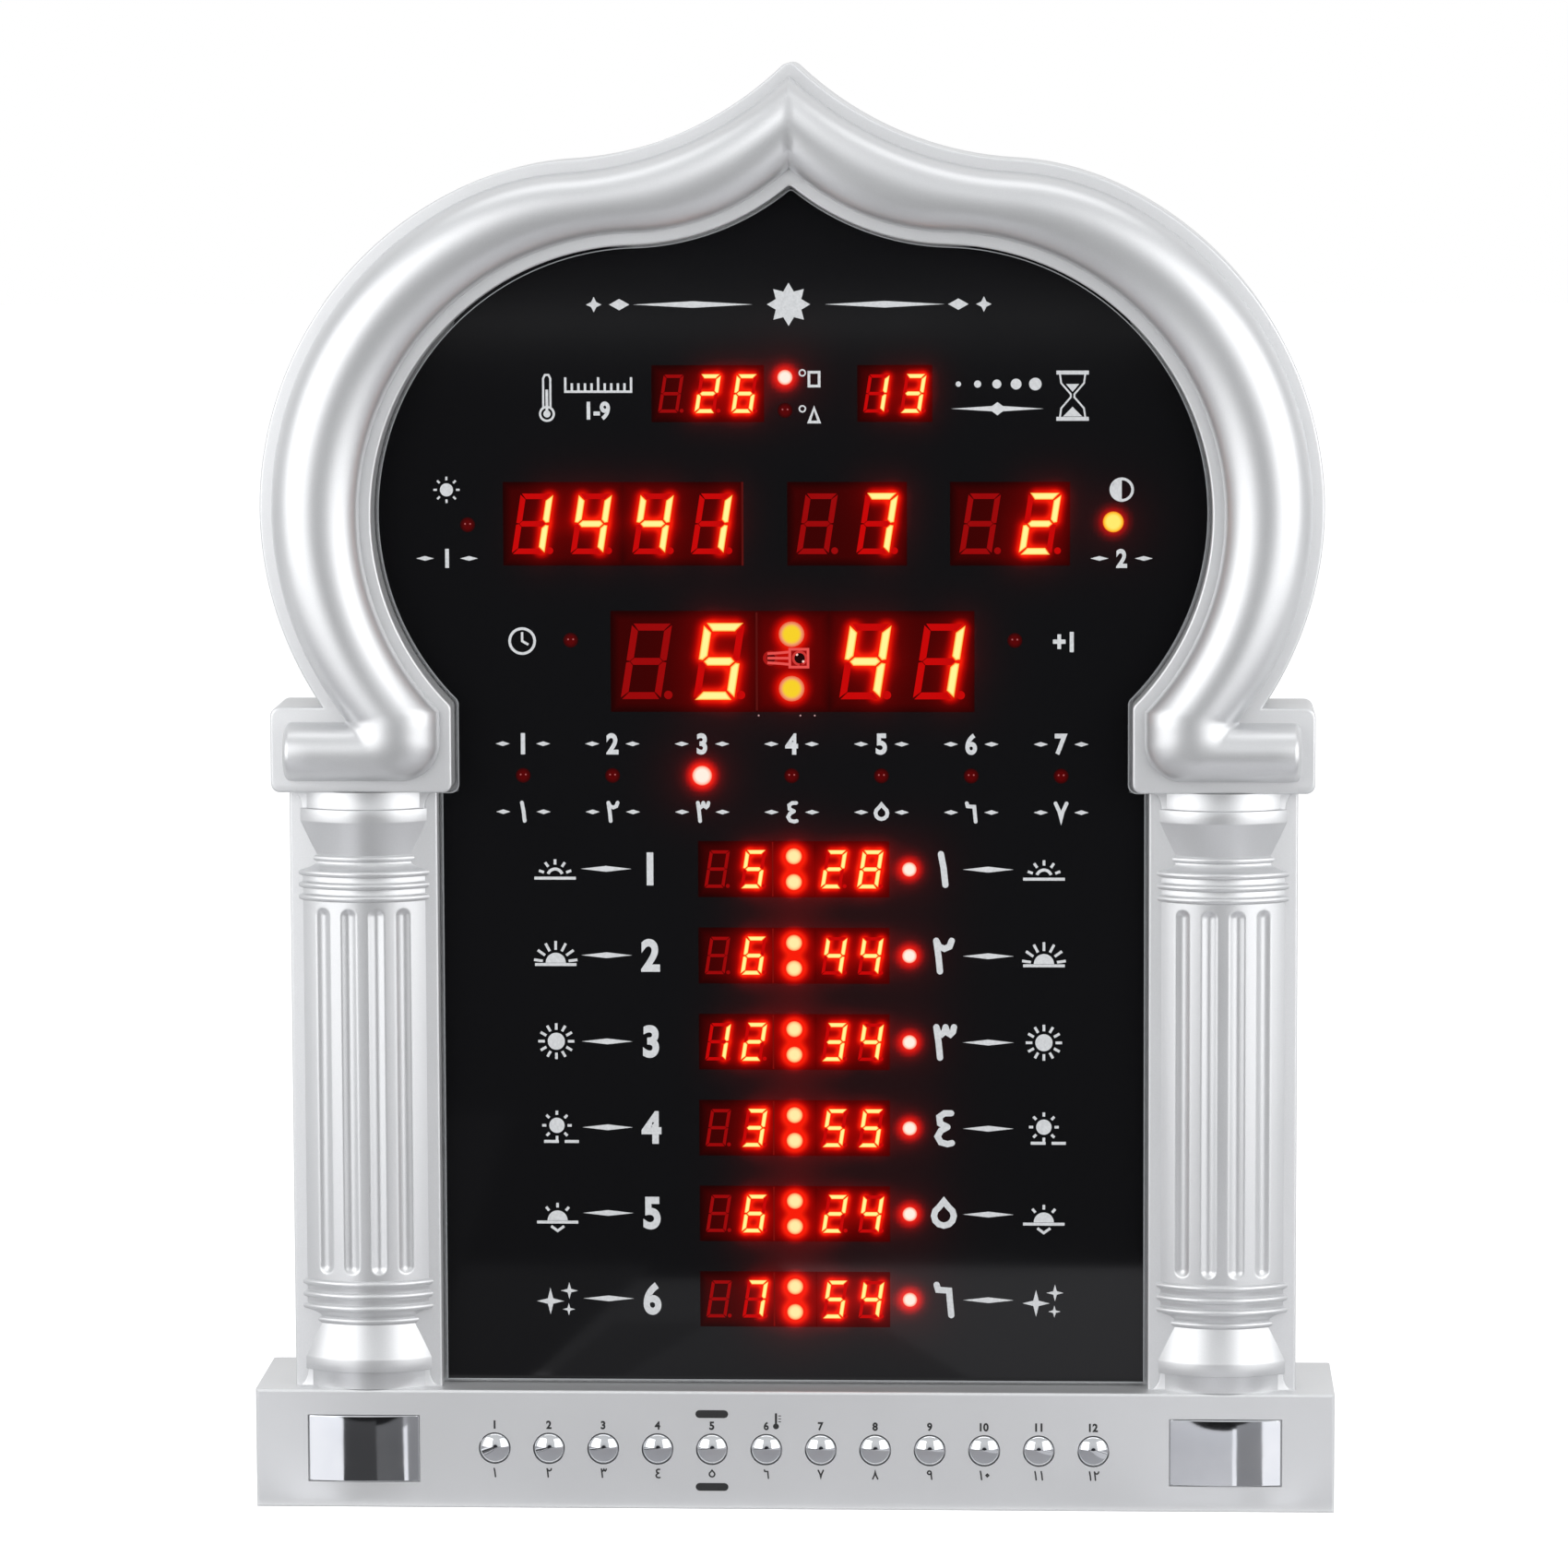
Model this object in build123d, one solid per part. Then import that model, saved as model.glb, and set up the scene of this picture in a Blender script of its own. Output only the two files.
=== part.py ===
"""Azan clock: arch-shaped LED clock case on a flat base, as separate pieces.

Millimetres. +Z is up, -Y is the front, X = 0 is the middle.
The origin is the centre of the underside that the clock stands on.
Depths are measured backwards from the front face of the base.
"""
from build123d import *
import math
import os

# ---------------------------------------------------------------- case sizes
base_width = 364.0
base_height = 40.5
base_depth = 55.0
wall = 2.5
edge_round = 1.0

frame_front_depth = 1.0        # flat flange of the arch
frame_back_depth = 34.0        # rear rim of the arch and the pilasters
pilaster_front_depth = 7.0     # flat plate behind each half column
panel_front_depth = 13.2
panel_thickness = 3.0
panel_edge_gap = 1.1
ledge_width = 4.0
ledge_thickness = 2.5

# inner rim of the arch: a large arc on each side and a reversed arc to the point
rim_centre_x = 50.0
rim_centre_z = 336.0
rim_radius = 90.0
rim_point_radius = 85.0
rim_point_z = 445.8

# outer edge of the arch: side arc, shoulder arc, reversed arc to the point
side_centre_x = 59.2
side_centre_z = 338.2
side_radius = 118.0
shoulder_radius = 95.3
shoulder_angle = 65.3
tip_radius = 114.0
tip_z = 487.3
tip_round = 3.5
rim_tip_round = 1.5

# half-round moulding on the arch
moulding_flange = 4.0
moulding_height = 10.7
moulding_elbow_radius = 13.0
moulding_crease_radius = 0.6
scroll_end_gap = 5.0
limb_steps = 13
tip_steps = 6
tip_step = 9.5

# blocks between arch and pilasters
block_outer_x = 174.5
block_inner_x = 113.7
block_bottom_z = 243.3
block_top_z = 272.0
block_round = 3.0

# pilasters and half columns
pilaster_outer_x = 169.0
pilaster_inner_x = 119.2
column_sagitta = 7.5           # how far the shaft stands out of its plate
shaft_half_width = 20.6
drum_half_width = 20.0
band_half_width = 21.3
neck_half_width = 16.0
ring_half_width = 22.1
neck_ring_half_width = 17.1
drum_height = 5.8
band_height = 4.5
cone_height = 10.8
neck_ring_at = 22.7            # from the column's end
ring_first_at = 27.5
ring_pitch = 4.15
ring_count = 3
ring_thickness = 1.9
shaft_starts_at = 36.9
flute_count = 4
flute_pitch = 9.3
flute_width = 5.4
flute_depth = 1.1
flute_end_gap = 2.2
cap_slab_depth = 6.2           # front face of the slab beside each drum
cap_slab_flare = 4.0

# ---------------------------------------------------------------- controls
button_count = 12
button_pitch = 18.37
button_z = 20.6
button_radius = 5.1
button_hole_clearance = 0.3
button_dome = 2.2
button_flange_radius = 6.4
button_flange_thickness = 1.2
button_rest_gap = 0.3
button_stem_radius = 1.7
button_travel = 1.0
stem_fit = 0.1

plate_from_end = 36.6          # from the base's end to the plate's middle
plate_centre_z = 20.3
plate_width = 37.4
plate_height = 22.4
plate_gap = 0.3
plate_seat_depth = 1.3
plate_edge_thickness = 0.8
plate_bulge = 1.5

# ---------------------------------------------------------------- boards
board_thickness = 1.6
button_board_depth = 13.0
button_board_width = 224.0
button_board_height = 25.0
switch_size = 6.0
switch_height = 3.5
switch_bore_depth = 1.8

module_depth = 8.0
display_board_half_width = 114.0
display_board_bottom_z = 48.0
display_board_top_z = 415.0
sensor_from_edge = 20.0
sensor_from_foot = 6.0
sensor_lead_length = 4.0
sensor_lead_radius = 0.3
sensor_lead_spacing = 1.6
sensor_bead_radius = 1.5

large_module = (48.6, 34.0)
medium_module = (40.0, 28.0)
small_pair_module = (25.0, 19.0)
small_triple_module = (37.6, 19.0)
time_z = 286.4
time_hours_x = -36.7
time_minutes_x = 36.5
date_z = 332.6
year_xs = (-76.0, -36.0)
month_x = 18.4
day_x = 72.8
top_row_z = 376.1
temperature_x = -28.0
countdown_x = 34.4
row_count = 6
row_first_z = 216.3
row_pitch = 29.33
row_hours_x = -19.5
row_minutes_x = 19.8

lamp_radius = 2.5
time_dot_radius = 4.0
lamp_rim = 0.5
lamp_rim_height = 1.0
time_dot_spacing = 18.3
row_dot_spacing = 8.7
eye_x = 1.6
eye_width = 6.0
eye_height = 5.2
eye_thickness = 3.0
eye_lens_radius = 1.9
eye_lens_height = 0.7
eye_lead_pitch = 1.7
eye_lead_width = 0.6
eye_lead_length = 5.5
row_lamp_x = 39.0
unit_lamp_x = -2.2
unit_lamp_spacing = 11.0
date_lamp_x = 108.0
date_lamp_z = 332.6
side_lamp_x = 74.4
side_lamp_z = 293.5
day_lamp_count = 7
day_lamp_pitch = 30.1
day_lamp_z = 247.9

# ---------------------------------------------------------------- back
cover_thickness = 2.5
cover_edge_gap = 0.4
rear_box_half_width = 90.0
rear_box_depth = 21.0
rear_box_bottom_z = 60.0
rear_box_top_z = 200.0
rear_box_round = 3.0
vent_columns = (-45.0, 45.0)
vent_count = 9
vent_pitch = 6.0
vent_first_z = 225.0
vent_length = 56.0
vent_height = 2.4
keyhole_x = 128.0
keyhole_z = 325.0
keyhole_entry_radius = 4.5
keyhole_slot_radius = 2.3
keyhole_rise = 8.0
back_plate_gap = 0.3

screw_radius = 1.5
screw_fit = 0.05
screw_head_radius = 2.8
screw_head_height = 1.8
screw_hole_radius = 1.8
screw_seat_fit = 0.3
base_post_from_end = 9.0
boss_radius = 4.0
boss_into_wall = 0.3
screw_tip_room = 2.0           # free hole beyond a screw's tip
hole_floor = 1.0               # material left under a blind hole
small_boss_radius = 3.2
cover_screw_length = 12.0
board_screw_length = 6.0

speaker_x = -42.0
speaker_z = 130.0
speaker_flange_radius = 31.5
speaker_screw_circle = 28.7
speaker_basket_radius = 25.5
speaker_standoff = 3.0
speaker_flange_thickness = 2.0
speaker_basket_depth = 9.5
speaker_foot_radius = 12.8
speaker_cone_depth = 6.8
speaker_cap_radius = 8.2
speaker_roll_width = 3.0
speaker_magnet_radius = 16.0
speaker_magnet_depth = 8.0
speaker_plate_step = 0.8
speaker_plate_thickness = 1.6
speaker_skin = 0.8
grille_hole_radius = 1.6
grille_ring_pitch = 5.6
grille_rings = 4

main_board_side_gap = 2.5
main_board_z = 150.0
main_board_width = 80.0
main_board_height = 84.0
main_board_depth = 41.0
main_board_inset = 5.0
chip_thickness = 1.6
chip_places = ((-20.0, -8.0, 14.0, 14.0), (2.0, -12.0, 10.0, 8.0), (22.0, -14.0, 10.0, 6.0))
capacitor_offset = (24.0, 6.0)
capacitor_radius = 4.0
capacitor_height = 9.0

battery_x = 48.0
battery_z = 88.0
cell_radius = 5.25
cell_length = 44.5
cell_pitch = 11.6
cell_gap = 0.3
contact_room = 4.5
contact_thickness = 0.5
bay_wall = 1.5
door_thickness = 1.7
door_lip = 1.6
door_gap = 0.3
door_groove_length = 14.0
door_groove_width = 2.5
door_groove_depth = 0.8
door_groove_inset = 4.0

jack_from_edge = 15.0
jack_z = 172.0
jack_size = 9.0
jack_bore_radius = 2.85
jack_bore_length = 9.5
jack_recess = 0.3
jack_hole_gap = 0.2

header_height = 4.0
header_width = 16.0
header_depth = 6.0
ribbon_width = 12.0
ribbon_thickness = 1.0
ribbon_bend = 2.0
display_header_z = 182.0
main_header_z = 160.0
lower_header_z = 116.0
button_ribbon_x = 28.0
button_ribbon_depth = 28.5
wire_radius = 0.6
wire_spacing = 3.0

# ---------------------------------------------------------------- derived places
panel_back_depth = panel_front_depth + panel_thickness
ledge_back_depth = panel_back_depth + ledge_thickness
display_board_depth = panel_back_depth + module_depth
display_board_back = display_board_depth + board_thickness
cover_back_depth = frame_back_depth + cover_thickness
rear_depth = frame_back_depth + rear_box_depth
rear_inner_depth = rear_depth - cover_thickness
base_inner_depth = base_depth - cover_thickness
main_board_x = rear_box_half_width - wall - main_board_side_gap - main_board_width / 2
jack_x = main_board_x + main_board_width / 2 - jack_from_edge
plate_centre_x = base_width / 2 - plate_from_end
base_post_x = base_width / 2 - base_post_from_end
column_x = (pilaster_inner_x + pilaster_outer_x) / 2
axis_behind_plate = (shaft_half_width**2 - column_sagitta**2) / (2 * column_sagitta)
column_axis_depth = pilaster_front_depth + axis_behind_plate
button_xs = [(i - (button_count - 1) / 2) * button_pitch for i in range(button_count)]
row_zs = [row_first_z - i * row_pitch for i in range(row_count)]

pilaster_boss_zs = (60.0, 150.0, 228.0)
side_boss_angle = 0.0
shoulder_boss_angle = 50.0
tip_boss = (25.0, 450.0)
display_post_x = 107.0
display_post_zs = (58.0, 150.0, 235.0, 305.0, 402.0)
frame_screw_offset = 14.0
frame_screw_depth = 21.0
frame_boss_height = 13.0
base_post_zs = (9.0, 31.5)
base_post_end = base_inner_depth - 1.5
button_board_post_x = (-3 * button_pitch, 3 * button_pitch)
button_board_post_zs = (10.5, 30.7)


# ---------------------------------------------------------------- helpers
def y_at(depth):
    """Part Y of a depth behind the base's front face."""
    return depth - base_depth / 2


def front_plane(depth):
    """Plane that faces the front; its own x and y are the part's X and Z."""
    return Plane(origin=(0, y_at(depth), 0), x_dir=(1, 0, 0), z_dir=(0, -1, 0))


def slab(outline, front, back):
    """Solid of an outline between two depths."""
    return extrude(front_plane(back) * outline, amount=back - front)


def box_at(x0, x1, front, back, z0, z1):
    """Box between two depths."""
    outline = Pos((x0 + x1) / 2, (z0 + z1) / 2) * Rectangle(x1 - x0, z1 - z0)
    return slab(outline, front, back)


def rod(x, z, radius, front, back):
    """Round bar along the depth."""
    return slab(Pos(x, z) * Circle(radius), front, back)


def post(x, depth, radius, z0, z1):
    """Round bar along Z."""
    return Pos(x, y_at(depth), z0) * Cylinder(radius, z1 - z0, align=(Align.CENTER, Align.CENTER, Align.MIN))


def turned_about(x, z, profile):
    """Solid turned about a line along the depth, from a face in (radius, depth)."""
    plane = Plane(origin=(x, y_at(0), z), x_dir=(1, 0, 0), z_dir=(0, 0, 1))
    return revolve(plane * profile, axis=Axis((x, 0, z), (0, 1, 0)))


def both_sides(shape):
    """A shape with its mirror image."""
    return shape + mirror(shape, about=Plane.YZ)


def point_on(centre, radius, degrees):
    """Point of a circle."""
    turn = math.radians(degrees)
    return (centre[0] + radius * math.cos(turn), centre[1] + radius * math.sin(turn))


def angle_to(centre, point):
    """Direction of a point from a centre, in degrees."""
    return math.degrees(math.atan2(point[1] - centre[1], point[0] - centre[0]))


def arc(centre, radius, start, end):
    """Arc between two points of a circle, the short way round."""
    a = angle_to(centre, start)
    b = angle_to(centre, end)
    turn = (b - a + 180) % 360 - 180
    return ThreePointArc(start, point_on(centre, radius, a + turn / 2), end)


def reversed_arc_centre(centre, radius, point_radius, point_z):
    """Centre of the arc that leaves a circle tangentially and ends at (0, point_z)."""
    reach = radius + point_radius
    dx = -centre[0]
    dz = point_z - centre[1]
    gap = math.hypot(dx, dz)
    along = (reach**2 - point_radius**2 + gap**2) / (2 * gap)
    across = math.sqrt(reach**2 - along**2)
    unit = (dx / gap, dz / gap)
    return (centre[0] + along * unit[0] + across * unit[1], centre[1] + along * unit[1] - across * unit[0])


def circle_height(centre, radius, x):
    """Half height of a circle at x."""
    return math.sqrt(radius**2 - (x - centre[0])**2)


rim_centre = (rim_centre_x, rim_centre_z)
rim_point_centre = reversed_arc_centre(rim_centre, rim_radius, rim_point_radius, rim_point_z)
side_centre = (side_centre_x, side_centre_z)
shoulder_centre = point_on(side_centre, side_radius - shoulder_radius, shoulder_angle)
tip_centre = reversed_arc_centre(shoulder_centre, shoulder_radius, tip_radius, tip_z)


def symmetric_face(half_edges):
    """Face bounded by right-hand edges, from X = 0 to X = 0, and their mirror image."""
    half = make_face(half_edges + [Line(half_edges[-1] @ 1, half_edges[0] @ 0)])
    return half + mirror(half, about=Plane.YZ)


def rounded(face, points, radius):
    """Face with the named corners rounded."""
    corners = [v for v in face.vertices() for p in points if math.hypot(v.X - p[0], v.Y - p[1]) < 0.01]
    return fillet(corners, radius)


def opening_outline(grow=0.0, bottom=base_height):
    """Outline of the display opening, grown outwards by a distance."""
    radius = rim_radius + grow
    point_radius = rim_point_radius - grow
    joint = point_on(rim_centre, radius, angle_to(rim_centre, rim_point_centre))
    top = (0, rim_point_centre[1] - circle_height(rim_point_centre, point_radius, 0))
    neck_x = block_inner_x + grow
    neck = (neck_x, rim_centre_z - circle_height(rim_centre, radius, neck_x))
    step_z = block_bottom_z + grow
    corner = (neck_x, step_z)
    inner = (pilaster_inner_x + grow, step_z)
    foot = (pilaster_inner_x + grow, bottom)
    side = ThreePointArc(joint, point_on(rim_centre, radius, 0), neck)
    edges = [arc(rim_point_centre, point_radius, top, joint), side, Line(neck, corner), Line(corner, inner)]
    edges += [Line(inner, foot), Line(foot, (0, bottom))]
    face = symmetric_face(edges)
    sides = [(sign * x, z) for sign in (-1, 1) for x, z in (neck, corner)]
    face = rounded(face, sides, block_round)
    return rounded(face, [top], rim_tip_round)


def case_outline(inset=0.0, bottom=base_height):
    """Outline of arch, blocks and pilasters, moved inwards by a distance."""
    radius = side_radius - inset
    top = (0, tip_centre[1] - circle_height(tip_centre, tip_radius + inset, 0))
    joint = point_on(shoulder_centre, shoulder_radius - inset, angle_to(shoulder_centre, tip_centre))
    shoulder = point_on(side_centre, radius, shoulder_angle)
    block_top = block_top_z - inset
    foot_x = side_centre_x + math.sqrt(radius**2 - (side_centre_z - block_top)**2)
    block_x = block_outer_x - inset
    block_bottom = block_bottom_z + inset
    pilaster_x = pilaster_outer_x - inset
    points = [(foot_x, block_top), (block_x, block_top), (block_x, block_bottom), (pilaster_x, block_bottom)]
    points += [(pilaster_x, bottom), (0, bottom)]
    edges = [arc(tip_centre, tip_radius + inset, top, joint)]
    edges += [arc(shoulder_centre, shoulder_radius - inset, joint, shoulder)]
    edges += [ThreePointArc(shoulder, point_on(side_centre, radius, 0), points[0])]
    edges += [Line(a, b) for a, b in zip(points, points[1:])]
    face = symmetric_face(edges)
    face = rounded(face, [(sign * x, z) for sign in (-1, 1) for x, z in points[1:3]], block_round)
    return rounded(face, [top], tip_round)


def above(face, z):
    """The part of a face above a height."""
    span = 2 * base_width
    return face & Pos(0, z + span / 2) * Rectangle(span, span)


# ---------------------------------------------------------------- arch moulding
def moulding_section(inner, outer, inset=0.0, sunk=0.5):
    """Half-ellipse that stands on the flange between two points, as a closed face."""
    across = Vector(outer[0] - inner[0], 0, outer[1] - inner[1])
    half = across.length / 2 - inset
    middle = Vector((inner[0] + outer[0]) / 2, y_at(frame_front_depth), (inner[1] + outer[1]) / 2)
    plane = Plane(origin=middle, x_dir=across, z_dir=across.cross(Vector(0, -1, 0)))
    dome = EllipticalCenterArc((0, 0), half, moulding_height - inset, 0, arc_size=180)
    legs = Polyline((-half, 0), (-half, -sunk), (half, -sunk), (half, 0))
    return plane * make_face(dome + legs)


def ray_circle(start, direction, centre, radius, far=True):
    """Where a ray from a point meets a circle."""
    dx = start[0] - centre[0]
    dz = start[1] - centre[1]
    half_b = dx * direction[0] + dz * direction[1]
    root = math.sqrt(half_b**2 - (dx**2 + dz**2 - radius**2))
    reach = -half_b + (root if far else -root)
    return (start[0] + reach * direction[0], start[1] + reach * direction[1])


def limb_stations():
    """Pairs of inner and outer edge points of the moulding, from the tip down to the block."""
    stations = []
    for i in range(tip_steps):
        x = (i - 1) * tip_step
        inner = rim_point_centre[1] - circle_height(rim_point_centre, rim_point_radius - moulding_flange, x)
        outer = tip_centre[1] - circle_height(tip_centre, tip_radius + moulding_flange, x)
        stations.append(((x, inner), (x, outer)))
    middle = ((rim_centre_x + side_centre_x) / 2, (rim_centre_z + side_centre_z) / 2)
    last = angle_to(middle, moulding_crease())
    for i in range(limb_steps + 1):
        degrees = 90 + (last - 90) * i / limb_steps
        ray = point_on((0, 0), 1, degrees)
        inner = ray_circle(middle, ray, rim_centre, rim_radius + moulding_flange)
        stations.append((inner, outer_edge(middle, ray, degrees)))
    return stations


def outer_edge(middle, ray, degrees):
    """Outer edge point of the moulding on a ray."""
    joint = point_on(shoulder_centre, shoulder_radius, angle_to(shoulder_centre, tip_centre))
    if degrees > angle_to(middle, joint):
        return ray_circle(middle, ray, tip_centre, tip_radius + moulding_flange, far=False)
    if degrees > shoulder_angle:
        return ray_circle(middle, ray, shoulder_centre, shoulder_radius - moulding_flange)
    return ray_circle(middle, ray, side_centre, side_radius - moulding_flange)


def moulding_crease():
    """Where the outer edge of the limb meets the top of the scroll."""
    top = block_top_z - moulding_flange
    radius = side_radius - moulding_flange
    return (side_centre_x + math.sqrt(radius**2 - (side_centre_z - top)**2), top)


def elbow_stations(last):
    """Pairs that turn about the crease, from the limb's last pair to the start of the scroll."""
    inner, crease = last
    reach = point_on((0, 0), moulding_crease_radius, angle_to(inner, crease))
    pivot = (crease[0] + reach[0], crease[1] + reach[1])
    left = block_inner_x + moulding_flange
    low = block_bottom_z + moulding_flange
    bend = (left + moulding_elbow_radius, low + moulding_elbow_radius)
    neck = (left, rim_centre_z - circle_height(rim_centre, rim_radius + moulding_flange, left))
    half_way = angle_to(rim_centre, neck) + 3
    ends = [point_on(rim_centre, rim_radius + moulding_flange, half_way), (left, bend[1])]
    ends += [point_on(bend, moulding_elbow_radius, a) for a in (200, 225, 250)]
    ends += [(bend[0], low), (crease[0], low)]
    pairs = []
    for end in ends:
        ray = point_on((0, 0), moulding_crease_radius, angle_to(pivot, end))
        pairs.append((end, (pivot[0] + ray[0], pivot[1] + ray[1])))
    return pairs


def half_moulding(inset=0.0, sunk=0.5):
    """Right-hand half of the raised moulding: limb, elbow and scroll."""
    limb = limb_stations()
    elbow = [limb[-1]] + elbow_stations(limb[-1])
    body = loft([moulding_section(i, o, inset, sunk) for i, o in limb])
    body += loft([moulding_section(i, o, inset, sunk) for i, o in elbow])
    end = moulding_section(*elbow[-1], inset, sunk)
    length = block_outer_x - scroll_end_gap - inset - elbow[-1][0][0]
    return right_half(body + extrude(end, amount=length, dir=(1, 0, 0)))


def right_half(shape):
    """The part of a shape with X above zero."""
    span = 2 * base_width
    return shape & Pos(span / 2, 0, 0) * Box(span, span, 2 * span)


# ---------------------------------------------------------------- half columns
def column_radius(half_width):
    """Radius about the column's axis that gives a half width at the plate."""
    return math.hypot(half_width, axis_behind_plate)


def ring_arc(half_width, z, sign):
    """Rounded ring on the column's profile."""
    low = z - sign * ring_thickness / 2
    high = z + sign * ring_thickness / 2
    inner = column_radius(half_width - ring_thickness / 2)
    return ThreePointArc((inner, low), (column_radius(half_width), z), (inner, high))


def column_end_profile(end, sign):
    """Profile from a column's end to its shaft; sign is +1 upwards and -1 downwards."""
    def z(distance):
        return end + sign * distance

    drum = column_radius(drum_half_width)
    band = column_radius(band_half_width)
    neck = column_radius(neck_half_width)
    shaft = column_radius(shaft_half_width)
    cone_start = drum_height + band_height
    cone_end = cone_start + cone_height
    edges = Curve() + [Line((0, z(0)), (drum, z(0))), Line((drum, z(0)), (drum, z(drum_height)))]
    last = (drum, z(drum_height))
    steps = [(band, z(drum_height)), (band, z(cone_start)), (neck, z(cone_end))]
    rings = [ring_arc(neck_ring_half_width, z(neck_ring_at), sign)]
    rings += [ring_arc(ring_half_width, z(ring_first_at + i * ring_pitch), sign) for i in range(ring_count)]
    for point in steps:
        edges += Line(last, point)
        last = point
    for ring in rings:
        edges += Line(last, ring @ 0)
        edges += ring
        last = ring @ 1
    edges += Line(last, (shaft, z(shaft_starts_at)))
    return edges, (shaft, z(shaft_starts_at))


def column_solid():
    """Right-hand half column, standing out of its plate, with its flutes."""
    low, low_end = column_end_profile(base_height, 1)
    high, high_end = column_end_profile(block_bottom_z, -1)
    outline = low + Line(low_end, high_end) + high + Line((0, block_bottom_z), (0, base_height))
    plane = Plane(origin=(column_x, y_at(column_axis_depth), 0), x_dir=(1, 0, 0), z_dir=(0, -1, 0))
    turned = revolve(plane * make_face(outline), axis=Axis((column_x, y_at(column_axis_depth), 0), (0, 0, 1)))
    for flute in flutes():
        turned -= flute
    keep = box_at(pilaster_inner_x, pilaster_outer_x, -column_sagitta, pilaster_front_depth + wall / 2,
                  base_height, block_bottom_z)
    return turned & keep


def flutes():
    """Round-ended bars that cut the grooves of the shaft."""
    cutter = ((flute_width / 2)**2 + flute_depth**2) / (2 * flute_depth)
    shaft = column_radius(shaft_half_width)
    reach = shaft - flute_depth + cutter
    low = base_height + shaft_starts_at + flute_end_gap + flute_width / 2
    high = block_bottom_z - shaft_starts_at - flute_end_gap - flute_width / 2
    for i in range(flute_count):
        offset = (i - (flute_count - 1) / 2) * flute_pitch
        turn = math.asin(offset / shaft)
        x = column_x + reach * math.sin(turn)
        depth = column_axis_depth - reach * math.cos(turn)
        bar = post(x, depth, cutter, low, high)
        for z in (low, high):
            bar += Pos(x, y_at(depth), z) * Sphere(cutter)
        yield bar


def cap_slabs():
    """Flared slabs beside the drum at both ends of a column."""
    half = (pilaster_outer_x - pilaster_inner_x) / 2 - edge_round / 2
    slabs = Part()
    for end, sign in ((base_height, 1), (block_bottom_z, -1)):
        far = end + sign * drum_height
        outline = make_face(Curve() + [
            Line((column_x - half, end), (column_x + half, end)),
            SagittaArc((column_x + half, end), (column_x + half - cap_slab_flare, far), -sign),
            Line((column_x + half - cap_slab_flare, far), (column_x - half + cap_slab_flare, far)),
            SagittaArc((column_x - half + cap_slab_flare, far), (column_x - half, end), -sign),
        ])
        slabs += slab(outline, cap_slab_depth, pilaster_front_depth + wall / 2)
    return slabs


# ---------------------------------------------------------------- front frame
def cover_screw_places():
    """Screw places on the right-hand side, as (x, z)."""
    places = [(column_x, z) for z in pilaster_boss_zs]
    for turn in (side_boss_angle, shoulder_boss_angle):
        inner = point_on(rim_centre, rim_radius, turn)
        outer = point_on(side_centre, side_radius, turn)
        places.append(((inner[0] + outer[0]) / 2, (inner[1] + outer[1]) / 2))
    return places + [tip_boss]


def frame_screw_places():
    """Screws that hold the frame on the base, right-hand side."""
    return [column_x - frame_screw_offset, column_x + frame_screw_offset]


def front_frame():
    """Silver moulding: arch, blocks, pilasters and half columns, hollow behind."""
    opening_bottom = base_height - 1
    body = slab(case_outline() - opening_outline(0, opening_bottom), pilaster_front_depth, frame_back_depth)
    arch = above(case_outline() - opening_outline(0, opening_bottom), block_bottom_z)
    body += slab(arch, frame_front_depth, pilaster_front_depth)
    body += both_sides(half_moulding())
    body += both_sides(column_solid() + cap_slabs())

    floor_z = base_height + wall
    hollow = case_outline(wall, floor_z) - opening_outline(wall, opening_bottom)
    body -= slab(hollow, pilaster_front_depth + wall, frame_back_depth)
    body -= slab(above(hollow, block_bottom_z + wall), frame_front_depth + wall, pilaster_front_depth + wall)
    body -= slab(case_outline(wall, floor_z), ledge_back_depth, frame_back_depth)
    body -= both_sides(half_moulding(wall, wall + 0.5))
    body -= both_sides(column_core())

    ledge = opening_outline(wall / 2, base_height) - opening_outline(-ledge_width, base_height + ledge_width)
    body += slab(ledge, panel_back_depth, ledge_back_depth)
    hole = screw_radius + screw_fit
    for x, z in cover_screw_places():
        body += both_sides(rod(x, z, boss_radius, boss_front(z), frame_back_depth))
        body -= both_sides(rod(x, z, hole, frame_back_depth - cover_screw_length, frame_back_depth))
    boss_top = base_height + frame_boss_height
    for x in frame_screw_places():
        body += both_sides(post(x, frame_screw_depth, boss_radius, base_height, boss_top))
        body -= both_sides(post(x, frame_screw_depth, hole, base_height, boss_top - wall / 2))
    return body


def boss_front(z):
    """Depth where a cover-screw boss starts: inside the wall of the column or of the moulding."""
    if z < block_bottom_z:
        return column_core_front() - boss_into_wall
    return frame_front_depth - moulding_height + wall - boss_into_wall


def column_core_front():
    """Depth of the foremost line of the hollow inside a half column."""
    return column_axis_depth - column_radius(neck_half_width) + wall


def column_core():
    """Hollow inside a half column."""
    core = post(column_x, column_axis_depth, column_axis_depth - column_core_front(),
                base_height + drum_height + wall, block_bottom_z - drum_height - wall)
    keep = box_at(pilaster_inner_x, pilaster_outer_x, 0, pilaster_front_depth + 2 * wall, 0, block_top_z)
    return core & keep


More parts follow.
